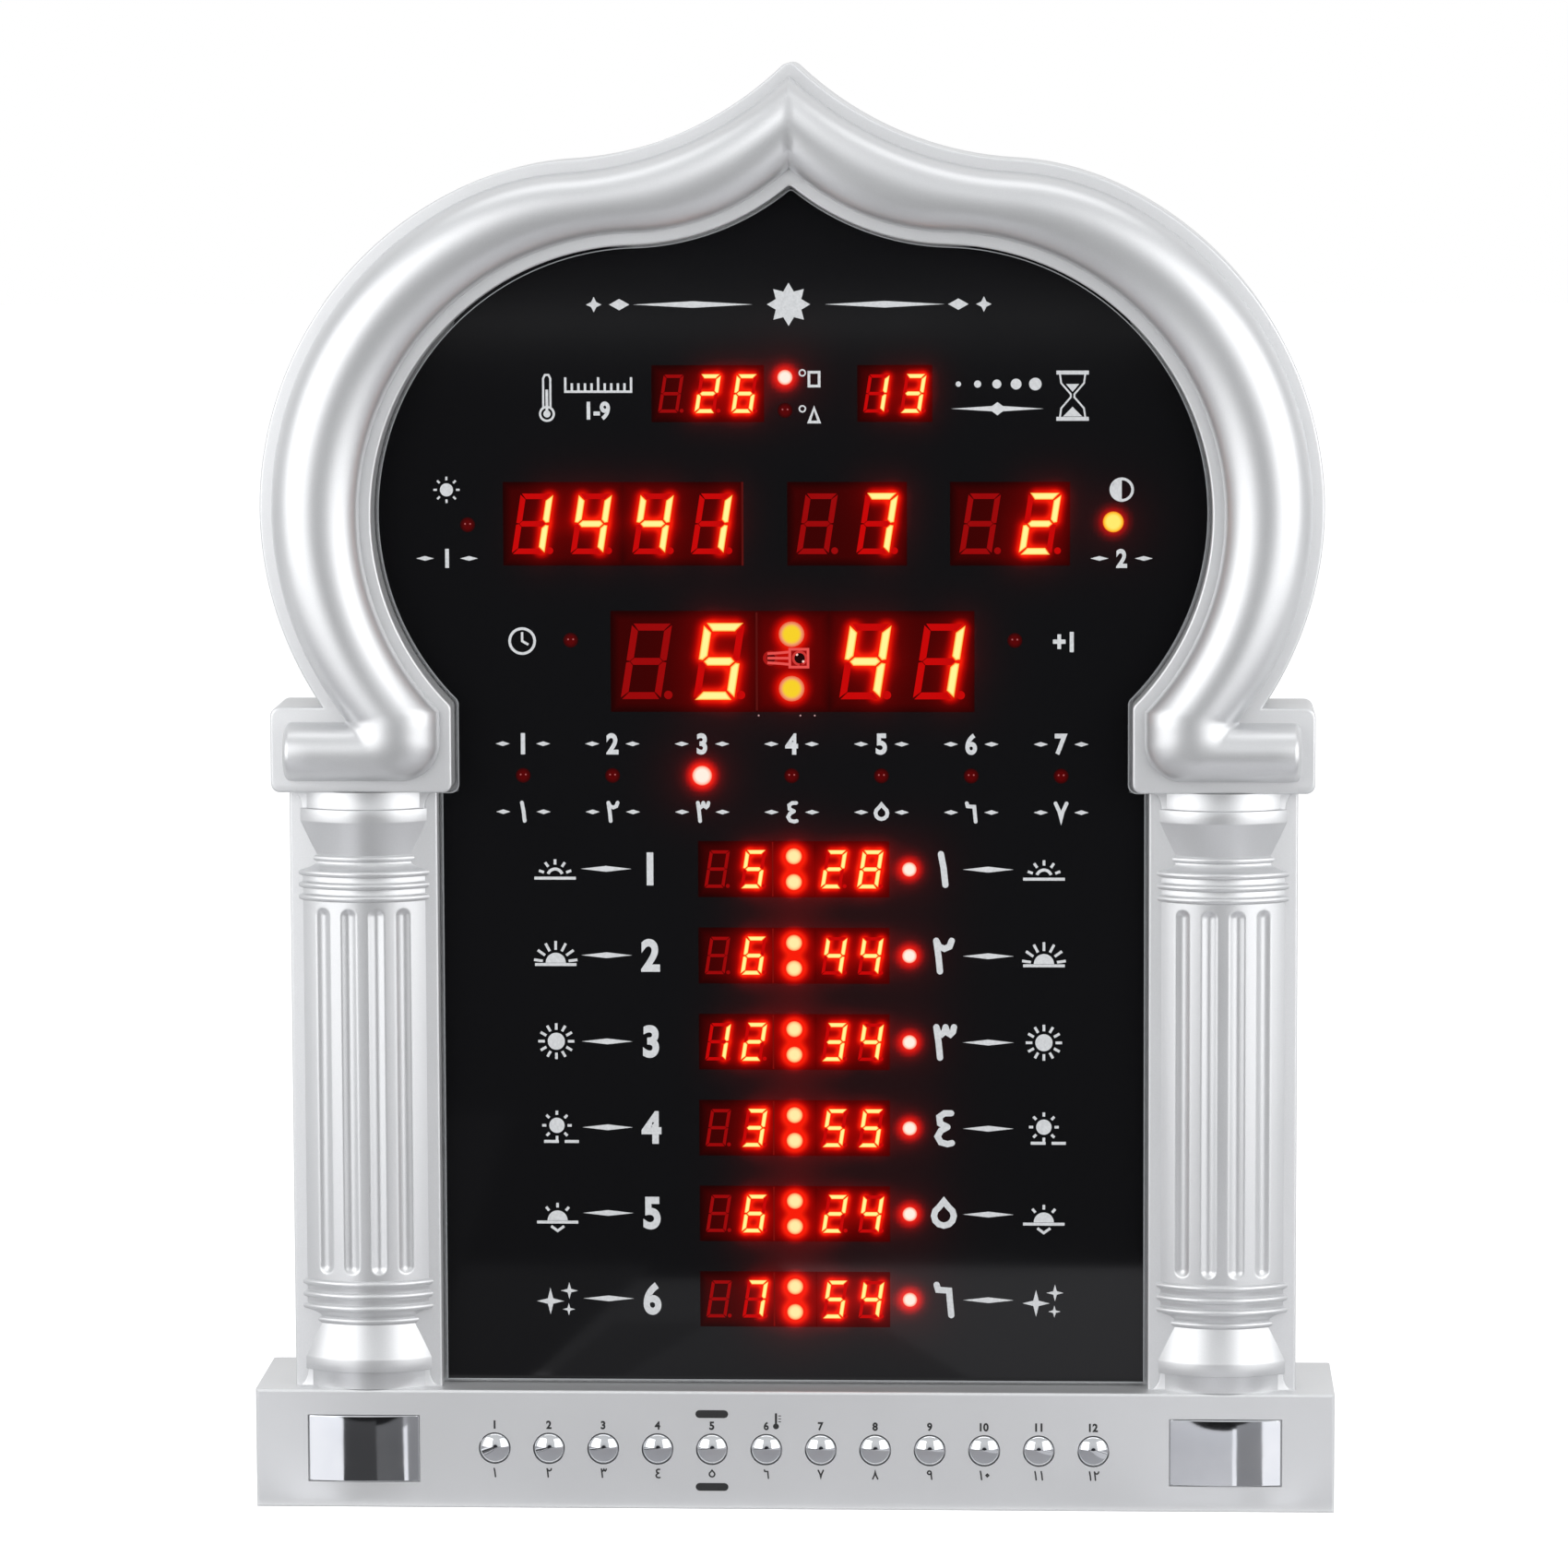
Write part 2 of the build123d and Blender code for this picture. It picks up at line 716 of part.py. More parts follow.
# ---------------------------------------------------------------- base
def base_housing():
    """Box that carries the frame, the buttons and the chrome plates; open at the back."""
    half = base_width / 2
    body = box_at(-half, half, 0, base_depth, 0, base_height)
    front = [e for e in body.edges() if abs(e.center().Y - y_at(0)) < 0.01]
    upright = [e for e in body.edges().filter_by(Axis.Z) if e.center().Y > 0]
    body = fillet(front + upright, edge_round)
    body -= box_at(-half + wall, half - wall, wall, base_depth, wall, base_height - wall)
    for x in button_xs:
        body -= rod(x, button_z, button_radius + button_hole_clearance, 0, wall)
    for side in (-1, 1):
        seat = plate_outline(side, plate_gap)
        body -= slab(seat, 0, plate_seat_depth)
    body -= box_at(button_ribbon_x - header_width / 2, button_ribbon_x + header_width / 2,
                   button_ribbon_depth - header_height, button_ribbon_depth + header_height,
                   base_height - wall, base_height)
    for x in frame_screw_places():
        body -= both_sides(post(x, frame_screw_depth, screw_hole_radius, base_height - wall, base_height))
    for z in base_post_zs:
        body += both_sides(rod(base_post_x, z, boss_radius, wall / 2, base_post_end))
        body -= both_sides(rod(base_post_x, z, screw_radius + screw_fit,
                               base_post_end - cover_screw_length, base_post_end))
    for x in button_board_post_x:
        for z in button_board_post_zs:
            body += rod(x, z, small_boss_radius, wall / 2, button_board_depth)
            body -= rod(x, z, screw_radius + screw_fit, wall + hole_floor, button_board_depth)
    return body


def base_back_plate():
    """Flat plate that closes the base from behind."""
    half = base_width / 2 - wall - back_plate_gap
    low = wall + back_plate_gap
    body = box_at(-half, half, base_inner_depth, base_depth, low, base_height - low)
    for z in base_post_zs:
        body += both_sides(rod(base_post_x, z, boss_radius, base_post_end, base_inner_depth))
        body -= both_sides(rod(base_post_x, z, screw_hole_radius, base_post_end, base_depth))
        body -= both_sides(rod(base_post_x, z, screw_head_radius + screw_seat_fit,
                               base_depth - screw_head_height, base_depth))
    return body


def plate_outline(side, grow=0.0):
    """Rectangle of a chrome plate, or of its seat."""
    rectangle = Rectangle(plate_width + 2 * grow, plate_height + 2 * grow)
    return Pos(side * plate_centre_x, plate_centre_z) * rectangle


def chrome_plate(side):
    """Chrome plate that bows forwards between its two short edges."""
    seat = plate_seat_depth
    half = plate_width / 2
    x = side * plate_centre_x
    edge = y_at(seat - plate_edge_thickness)
    top = Plane(origin=(0, 0, plate_centre_z - plate_height / 2), x_dir=(1, 0, 0), z_dir=(0, 0, 1))
    outline = Curve() + [
        Line((x - half, y_at(seat)), (x + half, y_at(seat))),
        Line((x + half, y_at(seat)), (x + half, edge)),
        ThreePointArc((x + half, edge), (x, edge - plate_bulge), (x - half, edge)),
        Line((x - half, edge), (x - half, y_at(seat))),
    ]
    return extrude(top * make_face(outline), amount=plate_height)


# ---------------------------------------------------------------- buttons
def push_button(x):
    """Domed chrome cap with its flange behind the wall and its stem in the switch."""
    flange_front = wall + button_rest_gap
    flange_back = flange_front + button_flange_thickness
    switch_front = button_board_depth - switch_height
    shoulder = button_rest_gap
    dome_radius = (button_radius**2 + button_dome**2) / (2 * button_dome)
    tip = shoulder - button_dome
    stem_end = switch_front + switch_bore_depth - button_travel - button_rest_gap
    half_turn = math.asin(button_radius / dome_radius) / 2
    middle = (dome_radius * math.sin(half_turn), tip + dome_radius * (1 - math.cos(half_turn)))
    dome = ThreePointArc((0, tip), middle, (button_radius, shoulder))
    points = [(button_radius, shoulder), (button_radius, flange_front), (button_flange_radius, flange_front),
              (button_flange_radius, flange_back), (button_stem_radius, flange_back),
              (button_stem_radius, stem_end), (0, stem_end), (0, tip)]
    return turned_about(x, button_z, make_face(Curve() + [dome, Polyline(points)]))


def tact_switches():
    """One square switch behind each button, with a bore for the stem."""
    front = button_board_depth - switch_height
    half = switch_size / 2
    switches = Part()
    for x in button_xs:
        switch = box_at(x - half, x + half, front, button_board_depth, button_z - half, button_z + half)
        switch -= rod(x, button_z, button_stem_radius + stem_fit, front, front + switch_bore_depth)
        switches += switch
    return switches


def button_board():
    """Printed board behind the buttons."""
    half_w = button_board_width / 2
    half_h = button_board_height / 2
    back = button_board_depth + board_thickness
    body = box_at(-half_w, half_w, button_board_depth, back, button_z - half_h, button_z + half_h)
    for x in button_board_post_x:
        for pz in button_board_post_zs:
            body -= rod(x, pz, screw_hole_radius, button_board_depth, back)
    return body


# ---------------------------------------------------------------- display
def display_panel():
    """Glossy black sheet that rests on the frame's ledge."""
    outline = opening_outline(-panel_edge_gap, base_height + panel_edge_gap)
    return slab(outline, panel_front_depth, panel_back_depth)


def digit_module(x, z, size):
    """Digit block that reaches from the panel to the board."""
    return slab(Pos(x, z) * Rectangle(*size), panel_back_depth, display_board_depth)


def round_lamp(x, z, radius):
    """Round lamp with a domed front and a rim at its foot."""
    tip = panel_back_depth + radius
    lamp = rod(x, z, radius, tip, display_board_depth)
    lamp += Pos(x, y_at(tip), z) * Sphere(radius)
    lamp += rod(x, z, radius + lamp_rim, display_board_depth - lamp_rim_height, display_board_depth)
    return lamp


def lamps(places, radius):
    """Separate lamps at the given places."""
    return Part() + [round_lamp(x, z, radius) for x, z in places]


def row_dot_places():
    """Two dots between hours and minutes of each row."""
    return [(0, z + s * row_dot_spacing / 2) for z in row_zs for s in (-1, 1)]


def indicator_places():
    """Lamps beside the rows, the days, the date, the time and the units."""
    places = [(row_lamp_x, z) for z in row_zs]
    places += [((i - (day_lamp_count - 1) / 2) * day_lamp_pitch, day_lamp_z) for i in range(day_lamp_count)]
    places += [(s * date_lamp_x, date_lamp_z) for s in (-1, 1)]
    places += [(s * side_lamp_x, side_lamp_z) for s in (-1, 1)]
    places += [(unit_lamp_x, top_row_z + s * unit_lamp_spacing / 2) for s in (-1, 1)]
    return places


def infrared_receiver():
    """Remote-control eye between the time dots, lying on its three bent leads."""
    half_w = eye_width / 2
    half_h = eye_height / 2
    front = panel_back_depth + eye_lens_height + 0.3
    back = front + eye_thickness
    body = box_at(eye_x - half_w, eye_x + half_w, front, back, time_z - half_h, time_z + half_h)
    body += rod(eye_x, time_z, eye_lens_radius, front - eye_lens_height, front)
    end_x = eye_x - half_w - eye_lead_length
    lead_back = back - eye_lens_height
    for i in (-1, 0, 1):
        low = time_z + i * eye_lead_pitch - eye_lead_width / 2
        top = low + eye_lead_width
        body += box_at(end_x, eye_x - half_w, lead_back - eye_lead_width, lead_back, low, top)
        body += box_at(end_x, end_x + eye_lead_width, lead_back, display_board_depth, low, top)
    return body


def display_board():
    """Printed board that carries the digits and the lamps."""
    half = display_board_half_width
    back = display_board_back
    body = box_at(-half, half, display_board_depth, back, display_board_bottom_z, display_board_top_z)
    for z in display_post_zs:
        body -= both_sides(rod(display_post_x, z, screw_hole_radius, display_board_depth, back))
    return body


# ---------------------------------------------------------------- back cover
def grille_places():
    """Holes in front of the speaker, in rings of six, twelve and so on."""
    places = [(speaker_x, speaker_z)]
    for ring in range(1, grille_rings + 1):
        for i in range(6 * ring):
            places.append(point_on((speaker_x, speaker_z), ring * grille_ring_pitch, 60 * i / ring))
    return places


def speaker_screw_places():
    """Four screws on the speaker's flange."""
    return [point_on((speaker_x, speaker_z), speaker_screw_circle, a) for a in (45, 135, 225, 315)]


def main_board_corners():
    """Screw places of the main board."""
    dx = main_board_width / 2 - main_board_inset
    dz = main_board_height / 2 - main_board_inset
    return [(main_board_x + sx * dx, main_board_z + sz * dz) for sx in (-1, 1) for sz in (-1, 1)]


def bay_size():
    """Inner width and height of the battery bay."""
    return cell_length + 2 * cell_gap + contact_room, cell_pitch + 2 * cell_radius + 2 * cell_gap


def bay_front():
    """Depth of the battery bay's floor."""
    return rear_depth - door_thickness - door_gap - 2 * cell_radius - 3 * cell_gap


def keyhole():
    """Entry hole with the narrow slot above it."""
    slot = Pos(0, keyhole_rise / 2) * Rectangle(2 * keyhole_slot_radius, keyhole_rise)
    slot += Pos(0, keyhole_rise) * Circle(keyhole_slot_radius)
    return Pos(keyhole_x, keyhole_z) * (Circle(keyhole_entry_radius) + slot)


def back_cover():
    """Rear cover: flat plate, raised box, posts, grille, vents, battery bay and hanging keyholes."""
    outline = case_outline(cover_edge_gap, base_height + cover_edge_gap)
    body = slab(outline, frame_back_depth, cover_back_depth)
    half = rear_box_half_width
    box = box_at(-half, half, frame_back_depth, rear_depth, rear_box_bottom_z, rear_box_top_z)
    rear = [e for e in box.edges() if e.center().Y > y_at(cover_back_depth)]
    body += fillet(rear, rear_box_round)
    body -= box_at(-half + wall, half - wall, frame_back_depth, rear_inner_depth,
                   rear_box_bottom_z + wall, rear_box_top_z - wall)

    for z in display_post_zs:
        body += both_sides(rod(display_post_x, z, small_boss_radius, display_board_back, cover_back_depth))
        body -= both_sides(rod(display_post_x, z, screw_radius + screw_fit, display_board_back,
                               cover_back_depth - hole_floor))
    for x, z in cover_screw_places():
        body -= both_sides(rod(x, z, screw_hole_radius, frame_back_depth, cover_back_depth))
    body -= both_sides(slab(keyhole(), frame_back_depth, cover_back_depth))
    for x in vent_columns:
        for i in range(vent_count):
            slot = Pos(x, vent_first_z + i * vent_pitch) * SlotOverall(vent_length, vent_height)
            body -= slab(slot, frame_back_depth, cover_back_depth)

    for x, z in grille_places():
        body -= rod(x, z, grille_hole_radius, rear_inner_depth, rear_depth)
    seat = speaker_flange_back()
    for x, z in speaker_screw_places():
        body += rod(x, z, small_boss_radius, seat, rear_depth - wall / 2)
        body -= rod(x, z, screw_radius + screw_fit, seat, rear_depth - wall / 2)
    for x, z in main_board_corners():
        body += rod(x, z, small_boss_radius, main_board_depth + board_thickness, rear_depth - wall / 2)
        body -= rod(x, z, screw_radius + screw_fit, main_board_depth + board_thickness, rear_inner_depth)
    body += battery_bay_shell()
    body -= battery_bay_hollow()
    half = jack_size / 2 + jack_hole_gap
    body -= box_at(jack_x - half, jack_x + half, rear_inner_depth, rear_depth, jack_z - half, jack_z + half)
    return body


def battery_bay_shell():
    """Walls of the battery bay, inside the rear box."""
    width, height = bay_size()
    width += 2 * (door_lip + bay_wall)
    height += 2 * (door_lip + bay_wall)
    return box_at(battery_x - width / 2, battery_x + width / 2, bay_front() - bay_wall, rear_depth - wall / 2,
                  battery_z - height / 2, battery_z + height / 2)


def battery_bay_hollow():
    """Room for the cells, and the wider seat of the door."""
    width, height = bay_size()
    room = box_at(battery_x - width / 2, battery_x + width / 2, bay_front(), rear_depth,
                  battery_z - height / 2, battery_z + height / 2)
    wide = width / 2 + door_lip
    tall = height / 2 + door_lip
    seat = box_at(battery_x - wide, battery_x + wide, rear_depth - door_thickness - door_gap, rear_depth,
                  battery_z - tall, battery_z + tall)
    return room + seat


def battery_door():
    """Lid of the battery bay, with a finger groove."""
    width, height = bay_size()
    wide = width / 2 + door_lip - door_gap
    tall = height / 2 + door_lip - door_gap
    lid = box_at(battery_x - wide, battery_x + wide, rear_depth - door_thickness, rear_depth,
                 battery_z - tall, battery_z + tall)
    groove = SlotOverall(door_groove_length, door_groove_width)
    groove = Pos(battery_x, battery_z + tall - door_groove_inset) * groove
    return lid - slab(groove, rear_depth - door_groove_depth, rear_depth)


def backup_cells():
    """Two cells side by side, each with its cap."""
    cap = 1.0
    cells = Part()
    depth = bay_front() + cell_gap + cell_radius
    start = battery_x - (cell_length + contact_room) / 2 + contact_room / 2
    for sign in (-1, 1):
        z = battery_z + sign * cell_pitch / 2
        body = Cylinder(cell_radius, cell_length - cap, align=(Align.CENTER, Align.CENTER, Align.MIN))
        body += Pos(0, 0, cell_length - cap) * Cylinder(cell_radius / 3, cap,
                                                        align=(Align.CENTER, Align.CENTER, Align.MIN))
        turn = Rot(0, 90, 0) if sign > 0 else Pos(cell_length, 0, 0) * Rot(0, -90, 0)
        cells += Pos(start, y_at(depth), z) * turn * body
    return cells


def battery_contacts():
    """Sprung plates at both ends of each cell."""
    width, _ = bay_size()
    plates = Part()
    tall = cell_radius * 0.8
    depth = bay_front() + cell_gap + cell_radius
    start = battery_x - (cell_length + contact_room) / 2 + contact_room / 2
    for sign in (-1, 1):
        z = battery_z + sign * cell_pitch / 2
        for low, high in ((battery_x - width / 2, start), (start + cell_length, battery_x + width / 2)):
            outer = low if low < battery_x else high - contact_thickness
            plates += box_at(outer, outer + contact_thickness, depth - tall, depth + tall, z - tall, z + tall)
            spring = Cylinder(cell_radius / 3, high - low - contact_thickness)
            middle = (low + high) / 2 + math.copysign(contact_thickness / 2, battery_x - low)
            plates += Pos(middle, y_at(depth), z) * Rot(0, 90, 0) * spring
    return plates


def main_board():
    """Printed board with the processor, sound chips and power input."""
    half_w = main_board_width / 2
    half_h = main_board_height / 2
    back = main_board_depth + board_thickness
    body = box_at(main_board_x - half_w, main_board_x + half_w, main_board_depth, back,
                  main_board_z - half_h, main_board_z + half_h)
    for x, z in main_board_corners():
        body -= rod(x, z, screw_hole_radius, main_board_depth, back)
    return body


def board_chips():
    """Processor, sound chip, amplifier and smoothing capacitor on the main board."""
    front = main_board_depth
    chips = Part()
    for dx, dz, width, height in chip_places:
        outline = Pos(main_board_x + dx, main_board_z + dz) * Rectangle(width, height)
        chips += slab(outline, front - chip_thickness, front)
    x = main_board_x + capacitor_offset[0]
    z = main_board_z + capacitor_offset[1]
    return chips + rod(x, z, capacitor_radius, front - capacitor_height, front)


def power_jack():
    """Socket for the mains adaptor's plug, seen through the rear wall."""
    mouth = rear_depth - jack_recess
    outline = Pos(jack_x, jack_z) * Rectangle(jack_size, jack_size)
    body = slab(outline, main_board_depth + board_thickness, mouth)
    return body - rod(jack_x, jack_z, jack_bore_radius, mouth - jack_bore_length, mouth)


# ---------------------------------------------------------------- speaker
def speaker_profile(points):
    """Solid turned about the speaker's axis from (radius, depth) points."""
    return turned_about(speaker_x, speaker_z, make_face(Polyline(points, close=True)))


def speaker_flange_back():
    """Depth where the speaker's flange meets its bosses."""
    return rear_inner_depth - speaker_standoff


def speaker_basket():
    """Pressed steel basket with a flat flange."""
    back = speaker_flange_back()
    front = back - speaker_flange_thickness
    deep = front - speaker_basket_depth
    foot = speaker_foot_radius
    rim = speaker_basket_radius
    body = speaker_profile([(speaker_flange_radius, back), (speaker_flange_radius, front), (rim, front),
                            (foot + speaker_skin, deep), (0, deep), (0, deep + speaker_skin),
                            (foot, deep + speaker_skin), (rim - speaker_skin, front + speaker_skin),
                            (rim - speaker_skin, back)])
    for x, z in speaker_screw_places():
        body -= rod(x, z, screw_hole_radius, front, back)
    return body


def speaker_cone():
    """Paper cone with its rolled edge, glued inside the basket."""
    back = speaker_flange_back()
    rim = speaker_basket_radius - speaker_skin
    roll = rim - speaker_roll_width
    cap = speaker_cap_radius
    low = back - speaker_cone_depth
    skin = speaker_skin
    return speaker_profile([(rim, back), (rim, back - skin), (roll, back - skin), (cap, low), (0, low - skin),
                            (0, low), (cap, low + skin), (roll, back)])


def speaker_magnet():
    """Ring magnet with its plates, behind the basket."""
    deep = speaker_flange_back() - speaker_flange_thickness - speaker_basket_depth
    front = deep - speaker_magnet_depth
    plates = rod(speaker_x, speaker_z, speaker_magnet_radius - speaker_plate_step, front, deep)
    ring = rod(speaker_x, speaker_z, speaker_magnet_radius, front + speaker_plate_thickness,
               deep - speaker_plate_thickness)
    return plates + ring


# ---------------------------------------------------------------- wiring
def header(x, z, front, back):
    """Shrouded header block."""
    return slab(Pos(x, z) * Rectangle(header_width, header_depth), front, back)


def header_sockets():
    """Headers for the two ribbon cables."""
    board_back = button_board_depth + board_thickness
    sockets = header(main_board_x, display_header_z, display_board_back, display_board_back + header_height)
    sockets += header(main_board_x, main_header_z, main_board_depth - header_height, main_board_depth)
    sockets += header(button_ribbon_x, lower_header_z, main_board_depth - header_height, main_board_depth)
    sockets += header(button_ribbon_x, button_z, board_back, board_back + header_height)
    return sockets


def ribbon(x, points):
    """Flat cable of constant width along a path of (depth, z) points."""
    plane = Plane(origin=(x - ribbon_width / 2, 0, 0), x_dir=(0, 1, 0), z_dir=(1, 0, 0))
    path = FilletPolyline([(y_at(d), z) for d, z in points], radius=ribbon_bend)
    band = trace(path, line_width=ribbon_thickness)
    return extrude(plane * band, amount=ribbon_width)


def display_ribbon():
    """Cable from the main board to the display board."""
    near = display_board_back + header_height
    far = main_board_depth - header_height
    middle = (near + far) / 2
    return ribbon(main_board_x, [(near, display_header_z), (middle, display_header_z),
                                 (middle, main_header_z), (far, main_header_z)])


def button_ribbon():
    """Cable from the button board up to the main board."""
    near = button_board_depth + board_thickness + header_height
    far = main_board_depth - header_height
    return ribbon(button_ribbon_x, [(near, button_z), (button_ribbon_depth, button_z),
                                    (button_ribbon_depth, lower_header_z), (far, lower_header_z)])


def speaker_wires():
    """Two insulated wires from the basket to the main board."""
    wires = Part()
    start_x = speaker_x + speaker_flange_radius - 1
    deck = speaker_flange_back() - speaker_flange_thickness
    end_x = main_board_x - main_board_width / 2 + 3
    lift = main_board_depth - 3 * wire_radius
    for sign in (-1, 1):
        z = speaker_z + sign * wire_spacing / 2
        points = [(start_x, y_at(deck), z), (start_x, y_at(lift), z), (end_x, y_at(lift), z),
                  (end_x, y_at(main_board_depth), z)]
        path = FilletPolyline(points, radius=wire_radius * 2)
        wires += sweep(Plane(origin=path @ 0, z_dir=path % 0) * Circle(wire_radius), path=path)
    return wires


def temperature_sensor():
    """Bead on two leads, behind the lower edge of the display board."""
    x = -display_board_half_width + sensor_from_edge
    z = display_board_bottom_z + sensor_from_foot
    back = display_board_back
    bead = Pos(x, y_at(back + sensor_lead_length), z) * Sphere(sensor_bead_radius)
    for sign in (-1, 1):
        lead_x = x + sign * sensor_lead_spacing / 2
        bead += rod(lead_x, z, sensor_lead_radius, back, back + sensor_lead_length)
    return bead


# ---------------------------------------------------------------- screws
def screw(x, z, head_front, length, backwards):
    """Pan-head screw along the depth; the shank points backwards or forwards."""
    if backwards:
        head = rod(x, z, screw_head_radius, head_front, head_front + screw_head_height)
        return head + rod(x, z, screw_radius, head_front, head_front + screw_head_height + length)
    head = rod(x, z, screw_head_radius, head_front, head_front + screw_head_height)
    return head + rod(x, z, screw_radius, head_front - length, head_front)


def screws(places, head_front, length, backwards):
    """Group of equal screws."""
    return Part() + [screw(x, z, head_front, length, backwards) for x, z in places]


def mirrored(places):
    """Places on the right and on the left."""
    return [(s * x, z) for s in (-1, 1) for x, z in places]


def cover_screws():
    """Hold the back cover on the frame."""
    shank = cover_screw_length + cover_thickness - screw_tip_room
    return screws(mirrored(cover_screw_places()), cover_back_depth, shank, False)


def base_screws():
    """Hold the base's back plate."""
    places = mirrored([(base_post_x, z) for z in base_post_zs])
    return screws(places, base_depth - screw_head_height, cover_screw_length, False)


def frame_screws():
    """Hold the frame on the base, from below."""
    group = Part()
    under = base_height - wall
    for side in (-1, 1):
        for x in frame_screw_places():
            head = post(side * x, frame_screw_depth, screw_head_radius, under - screw_head_height, under)
            group += head + post(side * x, frame_screw_depth, screw_radius, under,
                                 base_height + frame_boss_height - wall)
    return group


def display_board_screws():
    """Hold the display board on the cover's posts."""
    places = mirrored([(display_post_x, z) for z in display_post_zs])
    return screws(places, display_board_depth - screw_head_height, board_screw_length, True)


def button_board_screws():
    """Hold the button board on the base's posts."""
    places = [(x, z) for x in button_board_post_x for z in button_board_post_zs]
    return screws(places, button_board_depth + board_thickness, board_screw_length + board_thickness, False)


def main_board_screws():
    """Hold the main board on the cover's posts."""
    return screws(main_board_corners(), main_board_depth - screw_head_height, board_screw_length, True)


def speaker_screws():
    """Hold the speaker's flange."""
    front = speaker_flange_back() - speaker_flange_thickness - screw_head_height
    return screws(speaker_screw_places(), front, board_screw_length, True)


# ---------------------------------------------------------------- assembly
def nodes():
    """Every named piece of the clock."""
    pieces = {
        "front_frame": front_frame(),
        "base_housing": base_housing(),
        "base_back_plate": base_back_plate(),
        "back_cover": back_cover(),
        "display_panel": display_panel(),
        "display_board": display_board(),
        "button_board": button_board(),
        "main_board": main_board(),
        "board_chips": board_chips(),
        "tact_switches": tact_switches(),
        "time_hours": digit_module(time_hours_x, time_z, large_module),
        "time_minutes": digit_module(time_minutes_x, time_z, large_module),
        "year_digits": Part() + [digit_module(x, date_z, medium_module) for x in year_xs],
        "month_digits": digit_module(month_x, date_z, medium_module),
        "day_digits": digit_module(day_x, date_z, medium_module),
        "temperature_digits": digit_module(temperature_x, top_row_z, small_triple_module),
        "countdown_digits": digit_module(countdown_x, top_row_z, small_pair_module),
        "time_dots": lamps([(0, time_z + s * time_dot_spacing / 2) for s in (-1, 1)], time_dot_radius),
        "row_dots": lamps(row_dot_places(), lamp_radius),
        "indicator_lamps": lamps(indicator_places(), lamp_radius),
        "infrared_receiver": infrared_receiver(),
        "temperature_sensor": temperature_sensor(),
        "chrome_plate_left": chrome_plate(-1),
        "chrome_plate_right": chrome_plate(1),
        "speaker_basket": speaker_basket(),
        "speaker_cone": speaker_cone(),
        "speaker_magnet": speaker_magnet(),
        "speaker_wires": speaker_wires(),
        "battery_door": battery_door(),
        "backup_cells": backup_cells(),
        "battery_contacts": battery_contacts(),
        "power_jack": power_jack(),
        "header_sockets": header_sockets(),
        "display_ribbon": display_ribbon(),
        "button_ribbon": button_ribbon(),
        "cover_screws": cover_screws(),
        "base_screws": base_screws(),
        "frame_screws": frame_screws(),
        "display_board_screws": display_board_screws(),
        "button_board_screws": button_board_screws(),
        "main_board_screws": main_board_screws(),
        "speaker_screws": speaker_screws(),
    }
    for i, z in enumerate(row_zs, 1):
        pair = [digit_module(x, z, small_pair_module) for x in (row_hours_x, row_minutes_x)]
        pieces[f"row_{i}_digits"] = Part() + pair
    for i, x in enumerate(button_xs, 1):
        pieces[f"button_{i}"] = push_button(x)
    return pieces


os.makedirs("parts", exist_ok=True)
for name, piece in nodes().items():
    export_step(piece, f"parts/{name}.step")
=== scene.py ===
import math
import bpy
import bmesh
import numpy as np
from mathutils import Matrix, Vector


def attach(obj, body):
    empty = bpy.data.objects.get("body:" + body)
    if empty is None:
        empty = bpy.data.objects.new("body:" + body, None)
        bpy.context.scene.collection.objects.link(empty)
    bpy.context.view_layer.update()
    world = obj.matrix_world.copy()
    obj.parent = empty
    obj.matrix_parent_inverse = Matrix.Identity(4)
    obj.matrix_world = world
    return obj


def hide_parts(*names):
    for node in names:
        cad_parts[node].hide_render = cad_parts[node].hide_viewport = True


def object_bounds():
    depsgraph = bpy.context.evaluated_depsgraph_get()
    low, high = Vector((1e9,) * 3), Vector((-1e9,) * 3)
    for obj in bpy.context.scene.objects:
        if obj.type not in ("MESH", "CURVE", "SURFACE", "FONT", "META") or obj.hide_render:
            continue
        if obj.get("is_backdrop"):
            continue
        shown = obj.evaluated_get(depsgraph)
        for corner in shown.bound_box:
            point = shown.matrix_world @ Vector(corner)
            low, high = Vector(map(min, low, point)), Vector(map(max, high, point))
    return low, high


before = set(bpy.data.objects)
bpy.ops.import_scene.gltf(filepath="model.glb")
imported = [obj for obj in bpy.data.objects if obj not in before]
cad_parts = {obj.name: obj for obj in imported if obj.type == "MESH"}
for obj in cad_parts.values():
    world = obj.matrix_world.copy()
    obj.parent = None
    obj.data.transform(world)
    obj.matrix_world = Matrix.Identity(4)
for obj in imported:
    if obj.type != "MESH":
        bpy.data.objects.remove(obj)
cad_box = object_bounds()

# ------------------------------------------------------------------ where the clock stands
# A white sweep: the table runs on behind the clock and is lit so that it reads as plain white.
# Two wide soft boxes stand left and right of the clock and one hangs above it; the cards on the table
# are seen by reflections alone.
scene = bpy.context.scene
scene.view_settings.view_transform = "Standard"
base_front = -27.5                # the base's face, in millimetres from the middle of its depth
plate_x = 145.4                   # middles of the two chrome plates


def placed(name, data):
    """Object in the scene for a mesh, a lamp or the camera."""
    made = bpy.data.objects.new(name, data)
    scene.collection.objects.link(made)
    return made


